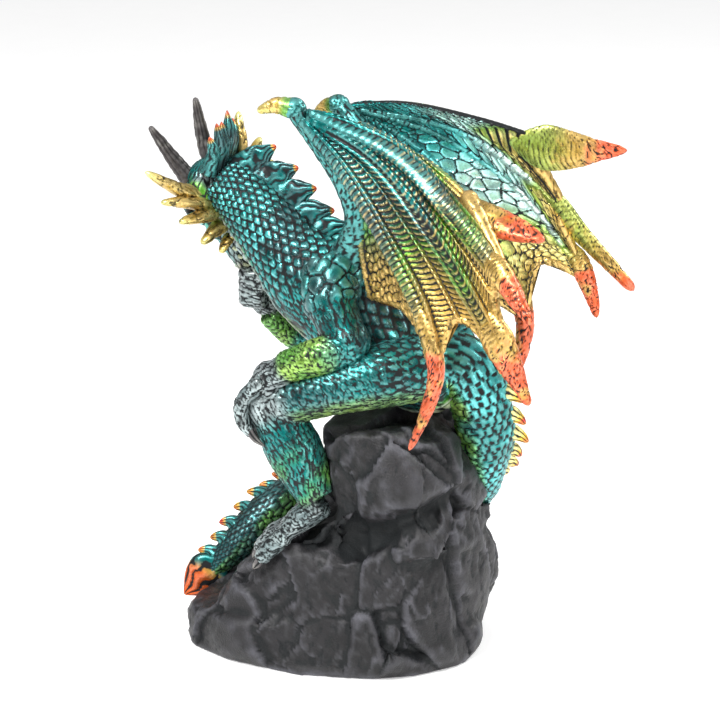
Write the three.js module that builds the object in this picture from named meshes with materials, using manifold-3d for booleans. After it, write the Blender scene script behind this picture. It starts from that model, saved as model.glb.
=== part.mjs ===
// A cast resin figurine: a dragon that sits thinking on a rock, chin on its fist.
// Millimetres, +Z up. The dragon looks towards -Y and its left side is +X.
// The origin is the middle of the rock's flat underside.
import * as THREE from "three";
import { ConvexGeometry } from "three/addons/geometries/ConvexGeometry.js";
import { mergeVertices } from "three/addons/utils/BufferGeometryUtils.js";
import Module from "manifold-3d";

const wasm = await Module();
wasm.setup();

// ---- Driving dimensions -----------------------------------------------------------------

const HEAD_PLACE = [-2, -42.5, 139.2]; // middle of the skull
const HEAD_SCALE = 1.06;
const SNOUT_TOWARDS = [-0.35, 0.26, -0.9]; // the head is bowed, and turned to its right
const HEAD_LEFT = [0.712, -0.503, -0.484];
const WING_SHEET = 2.6; // thickness of the membrane between two fingers
const JOIN_GAP = 0.5; // between the figure and the rock under it

const TEAL = 0x0f8f8c;
const STONE = 0x38383b;

// ---- Solids and geometries --------------------------------------------------------------

// A closed three.js geometry as a manifold solid.
function solidOf(geometry) {
  const bare = geometry.clone();
  for (const name of Object.keys(bare.attributes)) {
    if (name !== "position") bare.deleteAttribute(name);
  }
  const merged = mergeVertices(bare, 1e-4);
  const mesh = new wasm.Mesh({
    numProp: 3,
    vertProperties: merged.attributes.position.array,
    triVerts: new Uint32Array(merged.index.array),
  });
  const solid = new wasm.Manifold(mesh);
  return solid.volume() < 0 ? flipped(merged) : solid;
}

function flipped(geometry) {
  const triVerts = new Uint32Array(geometry.index.array).reverse();
  const vertProperties = geometry.attributes.position.array;
  return new wasm.Manifold(new wasm.Mesh({ numProp: 3, vertProperties, triVerts }));
}

function geometryOf(solid) {
  const mesh = solid.getMesh();
  const geometry = new THREE.BufferGeometry();
  geometry.setAttribute("position", new THREE.BufferAttribute(mesh.vertProperties, 3));
  geometry.setIndex(new THREE.BufferAttribute(mesh.triVerts, 1));
  return geometry.toNonIndexed();
}

function joined(solids) {
  return solids.reduce((whole, piece) => whole.add(piece));
}

// The outer skin alone: no pocket is left inside, and no loose crumb beside it.
function outerSkin(solid) {
  return solid.decompose().reduce((a, b) => (a.volume() > b.volume() ? a : b));
}

const at = ([x, y, z]) => new THREE.Vector3(x, y, z);
const mirrored = ([x, y, z]) => [-x, y, z];
const curveOf = (path) => new THREE.CatmullRomCurve3(path.map(at), false, "catmullrom");

// ---- Limbs: a round bar bent along a curve, thick and thin by its radii ------------------

// path: points; radii: [sideways, other way] at each point; side: which way "sideways" is.
// grow makes the bar that much bigger every way.
function limb({ path, radii, side = [1, 0, 0], around = 10, along = 8, grow = 0 }) {
  const spine = curveOf(path);
  const sizes = curveOf(radii.map((r) => (Array.isArray(r) ? [r[0], r[1], 0] : [r, r, 0])));
  const bar = new THREE.CylinderGeometry(1, 1, 1, around, along);
  const spot = bar.attributes.position;
  for (let i = 0; i < spot.count; i++) {
    const t = spot.getY(i) + 0.5;
    const tangent = spine.getTangent(t);
    const wide = at(side).addScaledVector(tangent, -at(side).dot(tangent)).normalize();
    const deep = new THREE.Vector3().crossVectors(wide, tangent);
    const size = sizes.getPoint(t);
    const place = spine
      .getPoint(t)
      .addScaledVector(tangent, t < 0.001 ? -grow : t > 0.999 ? grow : 0)
      .addScaledVector(wide, spot.getX(i) * (size.x + grow))
      .addScaledVector(deep, spot.getZ(i) * (size.y + grow));
    spot.setXYZ(i, place.x, place.y, place.z);
  }
  return solidOf(bar);
}

function ball(centre, radii, detail = 2) {
  const [a, b, c] = Array.isArray(radii) ? radii : [radii, radii, radii];
  const geometry = new THREE.IcosahedronGeometry(1, detail).scale(a, b, c);
  return solidOf(geometry.translate(...centre));
}

function spike(base, tip, radius, { bend = [0, 0, 0], flat = 1, side = [1, 0, 0] } = {}) {
  const middle = base.map((b, i) => b * 0.5 + tip[i] * 0.5 + bend[i]);
  const radii = [1, 0.72, 0.16].map((share) => [radius * share * flat, radius * share]);
  return limb({ path: [base, middle, tip], radii, side, around: 5, along: 2 });
}

// ---- The body: rump, belly, chest and neck in one curve ----------------------------------

const BODY = {
  path: [
    [0, 40, 88], [0, 29, 87.5], [0, 17.5, 95], [0, 6, 103.2], [0, -6.2, 111],
    [0, -14.8, 118.8], [0, -22.4, 127], [-0.5, -29.8, 133.8], [-1, -37, 138.5],
  ],
  radii: [
    [9, 9], [16, 14], [15.5, 15], [16.2, 16.4], [15, 14.8],
    [12, 12], [10.3, 10.4], [8.8, 9], [7.6, 7.6],
  ],
};

function body(grow = 0) {
  return limb({ ...BODY, around: 14, along: 14, grow });
}

// ---- The tail: over the back of the rock, round its far side and down its front ----------

const TAIL = {
  path: [
    [0, 33, 88], [-0.5, 39.5, 87.5], [-1, 43.5, 82], [-3, 45.2, 73.5], [-6, 45, 65], [-11, 42.5, 56],
    [-18, 38.5, 47.5], [-28, 31.5, 42], [-36, 20, 39], [-39, 6, 37.5], [-36, -8, 37.5],
    [-25, -15.5, 38.5], [-13, -18.5, 39.5], [-5, -21.5, 37.5], [0, -26.5, 32.5], [4, -31, 26.5],
    [7.5, -36, 20.5], [9.5, -40.5, 16],
  ],
  radii: [
    9.6, 9, 8.3, 7.9, 7.5, 7, 6.7, 6.4, 6.2, 6, 5.9, 5.8, 5.7, 5.6, 5.3, 4.6, 3.4, 1.6,
  ],
};
const TAIL_LEAF = { length: 15, width: 5.6, thickness: 1.8 };

function tailLeaf(grow) {
  const end = at(TAIL.path.at(-1));
  const before = at(TAIL.path.at(-2));
  const way = end.clone().sub(before).normalize();
  const root = end.clone().addScaledVector(way, -4);
  const tip = end.clone().addScaledVector(way, TAIL_LEAF.length - 6);
  const middle = root.clone().lerp(tip, 0.5);
  const { width, thickness } = TAIL_LEAF;
  return limb({
    path: [root, middle, tip].map((p) => p.toArray()),
    radii: [[1.6, 1.6], [width, thickness], [0.6, 0.6]],
    side: [0.2, -0.5, 0.84],
    around: 8,
    along: 5,
    grow,
  });
}

function tail(grow = 0) {
  return [limb({ ...TAIL, side: [0, 0, 1], around: 8, along: 28, grow }), tailLeaf(grow)];
}

// ---- Crest: thin blades along the neck's and the tail's ridge -----------------------------

// A blade standing on a curve at t, leaning back along it.
function blade(spine, t, outward, { height, length, lean = 0.5, thickness = 1.5, sink = 1.5 }) {
  const outline = new THREE.Shape();
  outline.moveTo(-length / 2, -sink);
  outline.quadraticCurveTo(-length * 0.2, height * 0.55, length * lean, height);
  outline.quadraticCurveTo(length * 0.3, height * 0.35, length / 2, -sink);
  outline.closePath();
  const sheet = new THREE.ExtrudeGeometry(outline, {
    depth: thickness,
    bevelEnabled: false,
    curveSegments: 2,
  });
  sheet.translate(0, 0, -thickness / 2);
  const back = spine.getTangent(t).normalize();
  const up = outward(spine.getPoint(t));
  up.addScaledVector(back, -up.dot(back)).normalize();
  const across = new THREE.Vector3().crossVectors(back, up);
  sheet.applyMatrix4(new THREE.Matrix4().makeBasis(back, up, across));
  return { sheet, up };
}

function crest({ path, radii }, outward, count, from, to, size) {
  const spine = curveOf(path);
  const sizes = curveOf(radii.map((r) => (Array.isArray(r) ? [r[0], r[1], 0] : [r, r, 0])));
  const blades = [];
  for (let i = 0; i < count; i++) {
    const t = from + ((to - from) * i) / (count - 1);
    const { sheet, up } = blade(spine, t, outward, size(i / (count - 1)));
    const foot = spine.getPoint(t).addScaledVector(up, sizes.getPoint(t).y * 0.96);
    blades.push(solidOf(sheet.translate(foot.x, foot.y, foot.z)));
  }
  return blades;
}

function neckCrest() {
  const up = () => new THREE.Vector3(0, 0.3, 1);
  // The curve runs from rump to head, so the blades lean towards its start.
  return crest(BODY, up, 6, 0.5, 0.93, (s) => ({
    height: 5 + 3.4 * s,
    length: 10 + 1.5 * s,
    lean: -0.38,
  }));
}

function tailCrest() {
  // The ridge faces up and away from the rock's middle all the way round it.
  const outward = ({ x, y }) => new THREE.Vector3(x, y - 10, 0).normalize().setZ(0.5);
  return crest(TAIL, outward, 18, 0.1, 0.93, (s) => ({
    height: 4.6 - 1.6 * s,
    length: 5.4 - 1.2 * s,
    lean: 0.42,
    thickness: 1.3,
  }));
}

// ---- Head, modelled facing -Y with its left on +X, then turned into place ------------------

const HEAD = {
  skull: { centre: [0, -4, 0.5], radii: [7.8, 9.5, 7.2] },
  snout: {
    path: [[0, -4, 0.5], [0, -14, 0.8], [0, -23, 0], [0, -30.5, -0.8]],
    radii: [[7, 6.2], [5.8, 5], [4.9, 3.9], [3.6, 2.6]],
  },
  jaw: {
    path: [[0, 0, -4], [0, -12, -6], [0, -21, -5.6], [0, -28, -4.8]],
    radii: [[6.8, 3.4], [5, 2.8], [3.8, 2.2], [2.6, 1.5]],
  },
  brow: { path: [[4, 3, 5.2], [6.6, -6, 6.4], [5.4, -14, 4.6]], radii: [1.6, 2.1, 1.1] },
  eye: { centre: [6, -9, 3.4], radius: 2.1 },
  nostril: { centre: [2.3, -29, 1.6], radius: 1.5 },
  horn: {
    path: [[4.2, 0, 4], [5.6, 10, 5.4], [8.2, 21.2, 4.4]],
    radii: [2.9, 2.2, 0.55],
  },
  cheekSpikes: [
    { base: [6.5, -1, -1], tip: [17, 12, 0.5], radius: 2.7, bend: [1, -1.6, 0] },
    { base: [6.5, -3, -3], tip: [18.6, 3.6, -3.4], radius: 2.3, bend: [1, -1, 0] },
    { base: [6.2, -6, -4], tip: [17.6, -3.2, -7], radius: 2.1, bend: [0.8, -0.6, 0] },
    { base: [5.6, -12, -5], tip: [14.6, -12, -8.6], radius: 1.8, bend: [0.4, 0, -0.3] },
  ],
  noseHorn: { base: [0, -24, 3], tip: [0, -24.5, 8.5], radius: 1.7 },
};

function headSide(sign) {
  const turn = ([x, y, z]) => [sign * x, y, z];
  const { brow, eye, nostril, horn, cheekSpikes } = HEAD;
  const along = { around: 6, along: 4 };
  return [
    limb({ ...brow, path: brow.path.map(turn), ...along }),
    ball(turn(eye.centre), eye.radius, 1),
    ball(turn(nostril.centre), nostril.radius, 0),
    limb({ ...horn, path: horn.path.map(turn), around: 6, along: 4 }),
    ...cheekSpikes.map(({ base, tip, radius, bend }) =>
      spike(turn(base), turn(tip), radius, { bend: turn(bend), side: [0, 0, 1], flat: 0.62 }),
    ),
  ];
}

function head() {
  const { skull, snout, jaw, noseHorn } = HEAD;
  const parts = [
    ball(skull.centre, skull.radii),
    limb({ ...snout, around: 9, along: 4 }),
    limb({ ...jaw, around: 8, along: 4 }),
    spike(noseHorn.base, noseHorn.tip, noseHorn.radius),
    ...headSide(1),
    ...headSide(-1),
  ];
  const towards = at(SNOUT_TOWARDS).normalize();
  const left = at(HEAD_LEFT);
  left.addScaledVector(towards, -left.dot(towards)).normalize();
  const crown = new THREE.Vector3().crossVectors(towards, left);
  const place = new THREE.Matrix4().makeBasis(left, towards.negate(), crown);
  place.scale(new THREE.Vector3(HEAD_SCALE, HEAD_SCALE, HEAD_SCALE)).setPosition(...HEAD_PLACE);
  return joined(parts).transform(place.elements);
}

// ---- Arms and hands -----------------------------------------------------------------------

// The left hand lies over its knee; the right arm stands on the other knee, fist under chin.
const LEFT_ARM = {
  upper: { path: [[13, 4, 117], [20, 7, 108], [24, 14.5, 97]], radii: [8.5, 7.2, 5.6] },
  fore: { path: [[24, 15, 97], [28, 6, 94.5], [29, -5, 90.5]], radii: [5.4, 5.4, 4.4] },
  palm: { centre: [29, -10, 86], radii: [4.6, 4.4, 6] },
};
const RIGHT_ARM = {
  upper: { path: [[-13, 2, 115], [-20, -3, 101], [-21, -13, 86]], radii: [8, 6.6, 5.2] },
  fore: { path: [[-21, -14, 84.5], [-18.5, -22, 90], [-13, -27.5, 97]], radii: [5, 5.4, 4.6] },
  fist: { centre: [-12, -29, 105], radii: [5.8, 5.4, 6.6] },
};

function leftFingers() {
  const fingers = [];
  for (let i = 0; i < 4; i++) {
    const x = 25.2 + 2.7 * i;
    const path = [[x, -10, 87], [x + 0.5, -16, 82 - i * 0.5], [x, -16.2, 74], [x - 1, -10, 67.5]];
    fingers.push(limb({ path, radii: [2, 2, 1.7, 0.5], around: 5, along: 4 }));
  }
  return fingers;
}

function rightFingers() {
  const fingers = [];
  for (let i = 0; i < 4; i++) {
    const z = 101 + 2.7 * i;
    const path = [[-6.5, -26.5, z], [-7, -33, z], [-13, -34.5, z], [-16, -31, z]];
    fingers.push(limb({ path, radii: [1.9, 2.1, 1.9, 1.2], side: [0, 0, 1], around: 5, along: 3 }));
  }
  return fingers;
}

function arms() {
  const bars = [LEFT_ARM.upper, LEFT_ARM.fore, RIGHT_ARM.upper, RIGHT_ARM.fore];
  return [
    ...bars.map((bar) => limb({ ...bar, around: 9, along: 4 })),
    ball(LEFT_ARM.palm.centre, LEFT_ARM.palm.radii, 1),
    ball(RIGHT_ARM.fist.centre, RIGHT_ARM.fist.radii, 1),
    ...leftFingers(),
    ...rightFingers(),
  ];
}

// ---- Legs and feet ------------------------------------------------------------------------

const LEG = {
  thigh: {
    path: [[12, 31, 90], [20, 22, 88.5], [26, 6, 83.5], [27, -10, 77.5]],
    radii: [[10, 9.5], [9, 9], [7, 7], [6, 6]],
  },
  shin: {
    path: [[27, -10.5, 76.5], [26.5, -5, 64], [27, 3.5, 51.5]],
    radii: [[5.8, 6], [6, 6.6], [4.4, 4.6]],
  },
  foot: { path: [[27, 6.5, 50], [28, 0, 45], [29, -5, 40]], radii: [[4.6, 3.8], [5.4, 3.8], [5.2, 2.6]] },
  toes: [
    [[25, -4, 42], [23.5, -11, 38], [22.5, -15.5, 33]],
    [[28.5, -5, 41], [28.5, -11.5, 36], [28.5, -15.5, 31]],
    [[31.5, -4, 40], [33.5, -9, 35], [35, -12.5, 30]],
  ],
};

function leg(sign, grow = 0) {
  const turn = (path) => (sign > 0 ? path : path.map(mirrored));
  const { thigh, shin, foot, toes } = LEG;
  return [
    limb({ ...thigh, path: turn(thigh.path), around: 10, along: 7, grow }),
    limb({ ...shin, path: turn(shin.path), around: 8, along: 5, grow }),
    limb({ ...foot, path: turn(foot.path), around: 8, along: 3, grow }),
    ...toes.map((path) =>
      limb({ path: turn(path), radii: [2.6, 2.3, 0.6], around: 6, along: 3, grow }),
    ),
  ];
}

// ---- Wings --------------------------------------------------------------------------------

// Every path starts at the wrist, which is left out of it. edge is the membrane's edge beside
// the body; a finger ends at its tip, and free is where it leaves the membrane.
const LEFT_WING = {
  wrist: [22, -4, 165.5],
  claw: [24.5, -14.5, 164.5],
  edge: [[20.5, 4.5, 155], [18.5, 11, 144.5], [15.5, 14, 133.5], [15, 15, 122], [17, 18, 110]],
  root: [[20.5, 4, 155], [18.5, 10.5, 144.5], [15, 13.5, 133], [11, 9, 121], [7, 2, 111]],
  fingers: [
    { path: [[29, 14, 150], [37, 30, 132], [43, 42.5, 114.5], [47, 49, 97], [48, 41.5, 75.5]], free: 0.78 },
    { path: [[30, 24, 154], [40, 46, 136], [46, 62, 116.5], [48.5, 71, 103], [48, 76.5, 92]], free: 0.8 },
    { path: [[31, 30, 156], [41, 52, 142], [50, 68, 129], [58, 80, 117]], free: 0.88 },
    { path: [[25, 16, 161.5], [29, 38, 152.5], [33.5, 56, 141.5], [38.5, 77, 136]], free: 0.84 },
  ],
};
const RIGHT_WING = {
  wrist: [-22, -8.5, 160.5],
  claw: [-23, -17.5, 156],
  edge: [[-20.5, 1, 153], [-18.5, 9, 143.5], [-15.5, 13, 133], [-15, 15, 122], [-17, 18, 110]],
  root: [[-20.5, 0.5, 153], [-18.5, 8.5, 143.5], [-15, 12.5, 133], [-11, 9, 121], [-7, 2, 111]],
  fingers: [
    { path: [[-28, 11, 150], [-33, 28, 133], [-36.5, 41, 112], [-37.5, 47, 92], [-34, 42, 70]], free: 0.78 },
    { path: [[-30, 22, 152], [-38, 44, 136], [-42, 58, 119], [-42, 65, 108], [-40, 69, 97]], free: 0.8 },
    { path: [[-31, 26, 154.5], [-38, 46, 140.5], [-42, 61, 124], [-42, 80, 106]], free: 0.76 },
    { path: [[-24, 11, 162.5], [-27, 35, 158.5], [-30, 59, 152.5], [-34, 79, 150]], free: 0.82 },
  ],
};
const PANEL_FOLDS = [0, 0.13, 0.5, 0.87]; // where a membrane bends, across its width
const REACH_STEPS = 8; // from wrist to trailing edge
const SCALLOP = [0.06, 0.2, 0.2, 0.3]; // how far the trailing edge draws in, panel by panel
const SAG = 0.085; // how deep a membrane hangs, as a share of its width
const FAN_START = 0.05;
const WING_RIB = 4.6; // thickness over a finger
const TIP_RADIUS = 2.1;

function wingSheet({ wrist, edge, fingers }, sign) {
  const edges = [{ path: edge, free: 1 }, ...fingers].map(({ path, free }) => ({
    curve: curveOf([wrist, ...path]),
    free,
  }));
  const panels = edges.length - 1;
  const columns = panels * PANEL_FOLDS.length;
  // u runs from the wrist to the trailing edge; v is the panel's number and its share across.
  const spot = (u, v) => {
    const panel = Math.min(Math.floor(v), panels - 1);
    const f = v - panel;
    const [a, b] = [edges[panel], edges[panel + 1]];
    const bow = Math.sin(Math.PI * f);
    const reach = FAN_START + (1 - FAN_START) * u * (1 - SCALLOP[panel] * bow);
    const start = a.curve.getPoint(reach * a.free);
    const end = b.curve.getPoint(reach * b.free);
    const width = start.distanceTo(end);
    const hang = new THREE.Vector3(-sign, 0.35, 0.35).multiplyScalar(SAG * width * bow);
    return start.lerp(end, f).add(hang);
  };
  const slab = new THREE.BoxGeometry(1, 1, 1, REACH_STEPS, columns, 1);
  const place = slab.attributes.position;
  const step = 0.02;
  for (let i = 0; i < place.count; i++) {
    const u = place.getX(i) + 0.5;
    const column = Math.round((place.getY(i) + 0.5) * columns);
    const fold = column % PANEL_FOLDS.length;
    const v = Math.floor(column / PANEL_FOLDS.length) + PANEL_FOLDS[fold];
    const here = spot(u, v);
    const alongU = spot(Math.min(u + step, 1), v).sub(spot(Math.max(u - step, 0), v));
    const alongV = spot(u, Math.min(v + step, panels)).sub(spot(u, Math.max(v - step, 0)));
    const normal = alongU.cross(alongV).normalize();
    here.addScaledVector(normal, place.getZ(i) * (fold === 0 ? WING_RIB : WING_SHEET));
    place.setXYZ(i, here.x, here.y, here.z);
  }
  return solidOf(slab);
}

// The end of a finger that stands clear of the membrane, as a spike.
function fingerTip(wrist, { path, free }, sign) {
  const curve = curveOf([wrist, ...path]);
  const from = free - 0.07;
  const points = [0, 0.35, 0.7, 1].map((share) => curve.getPoint(from + (1 - from) * share));
  return limb({
    path: points.map((point) => point.toArray()),
    radii: [1, 1, 0.75, 0.22].map((share) => TIP_RADIUS * share),
    side: [sign, 0, 0.4],
    around: 5,
    along: 3,
  });
}

function wing(plan, sign) {
  const { wrist, claw, root, fingers } = plan;
  return [
    wingSheet(plan, sign),
    ...fingers.map((finger) => fingerTip(wrist, finger, sign)),
    limb({ path: [wrist, ...root], radii: [3.2, 3.5, 3.8, 4.8, 6.5, 7], around: 7, along: 6 }),
    ball(wrist, 3.5, 1),
    spike(wrist, claw, 2.7, { bend: [0, 0, 1.2] }),
  ];
}

// ---- The dragon ----------------------------------------------------------------------------

function dragonSolid() {
  return joined([
    body(),
    ...tail(),
    ...neckCrest(),
    ...tailCrest(),
    head(),
    ...arms(),
    ...leg(1),
    ...leg(-1),
    ...wing(LEFT_WING, 1),
    ...wing(RIGHT_WING, -1),
  ]);
}

// ---- The rock: boulders with chiselled faces, joined and cut flat below ---------------------

// Each boulder is a stack of level outlines: [z, middle x, middle y, half width x, half width y].
// square is 1 for a round outline and less for a boxy one; grain sets how the facets fall.
const BOULDERS = [
  {
    rings: [[-2, 1, 0, 39, 44], [7, 1, -0.5, 38.5, 46], [13, 1, -1, 36.5, 44], [18, 0, 3, 33, 37]],
    points: 14,
    square: 0.85,
    grain: 3,
  },
  {
    rings: [[2, 1, 9, 36, 35], [18, 0, 10.5, 37, 36], [30, -1, 13, 37, 34], [42, 0, 16.5, 31, 28]],
    points: 11,
    square: 0.8,
    grain: 2,
  },
  {
    rings: [[14, 1, -6, 34, 28], [26, 1, -2, 34, 23], [38, 0, 4, 34, 14], [46, 0, 12, 32, 10]],
    points: 9,
    square: 0.7,
    grain: 8,
  },
  {
    rings: [[36, 1, 25, 30, 21], [48, 1, 24.5, 29, 18], [60, 1, 22.5, 31, 19], [73, 0, 18, 29, 15.5]],
    points: 9,
    square: 0.6,
    grain: 4,
  },
  {
    rings: [[40, 2, 30, 25, 17], [58, 2, 30, 25, 15], [70, 2, 29, 23, 11]],
    points: 8,
    square: 0.7,
    grain: 5,
  },
];
const ROUGH = 0.06; // how far a corner strays, as a share of the boulder's half width
const HUGE = 400;

// A repeatable number from -1 to 1 for corner i of a boulder.
const stray = (grain, i) => {
  const s = Math.sin(grain * 127.1 + i * 311.7) * 43758.5453;
  return 2 * (s - Math.floor(s)) - 1;
};

function boulder({ rings, points, square, grain }) {
  const corners = [];
  rings.forEach(([z, x, y, a, b], level) => {
    for (let i = 0; i < points; i++) {
      const n = level * points + i;
      const turn = (2 * Math.PI * (i + 0.5 * (level % 2) + 0.25 * stray(grain, n))) / points;
      const reach = 1 + ROUGH * stray(grain + 9, n);
      const squared = (c) => Math.sign(c) * Math.abs(c) ** square * reach;
      corners.push(
        new THREE.Vector3(
          x + a * squared(Math.cos(turn)),
          y + b * squared(Math.sin(turn)),
          z + 1.6 * stray(grain + 21, n),
        ),
      );
    }
  });
  return solidOf(new ConvexGeometry(corners));
}

function slab(low, high) {
  const size = high.map((h, i) => h - low[i]);
  const middle = high.map((h, i) => (h + low[i]) / 2);
  return solidOf(new THREE.BoxGeometry(...size).translate(...middle));
}

// The figure sits in the rock: whatever of it lies on the rock is cut out, grown by the gap.
function rockSolid() {
  const above = slab([-HUGE, -HUGE, 0], [HUGE, HUGE, HUGE]);
  const seated = [body(JOIN_GAP), ...tail(JOIN_GAP), ...leg(1, JOIN_GAP), ...leg(-1, JOIN_GAP)];
  return joined(BOULDERS.map(boulder)).intersect(above).subtract(joined(seated));
}

// ---- The scene graph --------------------------------------------------------------------------

function node(name, solid, color, metalness, roughness) {
  const material = new THREE.MeshStandardMaterial({ color, metalness, roughness });
  const mesh = new THREE.Mesh(geometryOf(solid), material);
  mesh.name = name;
  return mesh;
}

const figurine = new THREE.Group();
figurine.add(node("dragon", outerSkin(dragonSolid()), TEAL, 0.7, 0.35));
figurine.add(node("rock_base", outerSkin(rockSolid()), STONE, 0.0, 0.6));

export default figurine;
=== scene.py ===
"""A cast resin figurine of a dragon in thought on a rock: the visual model round its frame.

Lengths are in millimetres until a mesh is written, which is in metres. +Z is up, the dragon
faces -Y and its left side is +X. The origin is the middle of the rock's flat underside.
"""

import logging
import math
from collections.abc import Callable, Sequence
from dataclasses import dataclass, field
from enum import Enum

import bmesh
import bpy
import numpy as np
from mathutils import Matrix, Vector
from mathutils.bvhtree import BVHTree

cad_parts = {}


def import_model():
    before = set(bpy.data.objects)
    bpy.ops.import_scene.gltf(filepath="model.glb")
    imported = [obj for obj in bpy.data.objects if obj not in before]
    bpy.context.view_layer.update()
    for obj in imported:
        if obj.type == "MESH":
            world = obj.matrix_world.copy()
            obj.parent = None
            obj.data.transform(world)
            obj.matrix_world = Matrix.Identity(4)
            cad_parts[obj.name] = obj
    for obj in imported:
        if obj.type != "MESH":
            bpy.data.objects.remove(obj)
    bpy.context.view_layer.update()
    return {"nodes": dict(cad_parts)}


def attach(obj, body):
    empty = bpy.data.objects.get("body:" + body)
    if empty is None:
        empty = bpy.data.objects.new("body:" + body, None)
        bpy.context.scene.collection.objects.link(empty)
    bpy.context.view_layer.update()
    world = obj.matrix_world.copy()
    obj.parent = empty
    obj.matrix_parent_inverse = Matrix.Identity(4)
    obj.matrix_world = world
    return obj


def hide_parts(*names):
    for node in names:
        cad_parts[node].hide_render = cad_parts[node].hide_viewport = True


LOG = logging.getLogger("dragon")
MM = 0.001
TURN = 2.0 * math.pi
NUDGE = 2e-3  # share of a curve's length over which its direction is taken
LEAST_RADIUS = 0.05  # millimetres
TABLE_STEPS = 400  # how finely a curve is measured
EDGE_ROUNDS = 5  # how widely a mesh is smoothed to tell its hollows from its edges
WHORL_SHARE = 0.55  # how much of the curls shows over the beads on an arm or leg
BODY_NAME = "root"

Point = tuple[float, float, float]
Radii = tuple[float, float]
Array = np.ndarray


# ---------------------------------------------------------------------------- numbers


def unit(vectors: Array) -> Array:
    """Returns vectors scaled to length one along their last axis."""
    return vectors / np.maximum(np.linalg.norm(vectors, axis=-1, keepdims=True), 1e-9)


def step_up(low: float, high: float, values: Array) -> Array:
    """Rises smoothly from 0 at low to 1 at high, or falls when low is the greater."""
    share = np.clip((values - low) / (high - low), 0.0, 1.0)
    return share * share * (3.0 - 2.0 * share)


def blend(first: Array, second: Array, share: Array) -> Array:
    """Mixes two heights or colours by a share from 0 to 1.

    Args:
        first: what shows where share is 0; a colour is a row of three numbers.
        second: what shows where share is 1.
        share: one number a vertex.

    Returns:
        The mixture, one row a vertex.
    """
    first, second = np.asarray(first, float), np.asarray(second, float)
    if first.ndim > share.ndim or second.ndim > share.ndim or first.shape == (3,):
        share = share[..., None]
    return first * (1.0 - share) + second * share


def chance(*cells: Array | float) -> Array:
    """Gives a repeatable number for whole-number cells.

    Args:
        cells: up to four coordinates of each cell.

    Returns:
        A number from 0 to 1 for each cell.
    """
    mixed = sum(c * k for c, k in zip(cells, (127.1, 311.7, 74.7, 269.5)))
    value = np.sin(mixed) * 43758.5453
    return value - np.floor(value)


def mottle(points: Array, size: float, seed: float = 0.0) -> Array:
    """Smooth repeatable noise in space.

    Args:
        points: where to look, millimetres.
        size: how far apart the noise's own points are, millimetres.
        seed: a number that picks another noise.

    Returns:
        A number from 0 to 1 for each point.
    """
    spot = points / size
    cell = np.floor(spot)
    part = spot - cell
    part = part * part * (3.0 - 2.0 * part)
    total = np.zeros(len(points))
    for dx in (0, 1):
        for dy in (0, 1):
            for dz in (0, 1):
                weight = np.abs(1 - dx - part[:, 0]) * np.abs(1 - dy - part[:, 1])
                weight = weight * np.abs(1 - dz - part[:, 2])
                total += weight * chance(cell[:, 0] + dx, cell[:, 1] + dy, cell[:, 2] + dz, seed)
    return total


def layered(points: Array, size: float, layers: int = 3, seed: float = 0.0) -> Array:
    """Sums mottle at halving sizes.

    Args:
        points: where to look, millimetres.
        size: the coarsest size, millimetres.
        layers: how many sizes are summed.
        seed: a number that picks another noise.

    Returns:
        A number from 0 to 1 for each point.
    """
    total, weight, whole = np.zeros(len(points)), 1.0, 0.0
    for layer in range(layers):
        total += weight * mottle(points, size / 2**layer, seed + 7.3 * layer)
        whole += weight
        weight *= 0.5
    return total / whole


# ---------------------------------------------------------------------------- forms


def along_curve(points: Sequence[Sequence[float]], t: Array) -> Array:
    """Follows a uniform Catmull-Rom curve through its control points.

    Args:
        points: control points, one row each.
        t: places on the curve, 0 at its start and 1 at its end.

    Returns:
        One row for each place.
    """
    knots = np.asarray(points, float)
    knots = np.vstack([2 * knots[0] - knots[1], knots, 2 * knots[-1] - knots[-2]])
    place = np.clip(t, 0.0, 1.0) * (len(knots) - 3)
    first = np.minimum(place.astype(int), len(knots) - 4)
    w = (place - first)[:, None]
    a, b, c, d = (knots[first + k] for k in range(4))
    start, end = 0.5 * (c - a), 0.5 * (d - b)
    return b + start * w + (3 * (c - b) - 2 * start - end) * w**2 + (2 * (b - c) + start + end) * w**3


def heading(points: Sequence[Sequence[float]], t: Array) -> Array:
    """Returns the direction in which a curve runs at each t."""
    ahead = along_curve(points, np.minimum(t + NUDGE, 1.0))
    return unit(ahead - along_curve(points, np.maximum(t - NUDGE, 0.0)))


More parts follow.
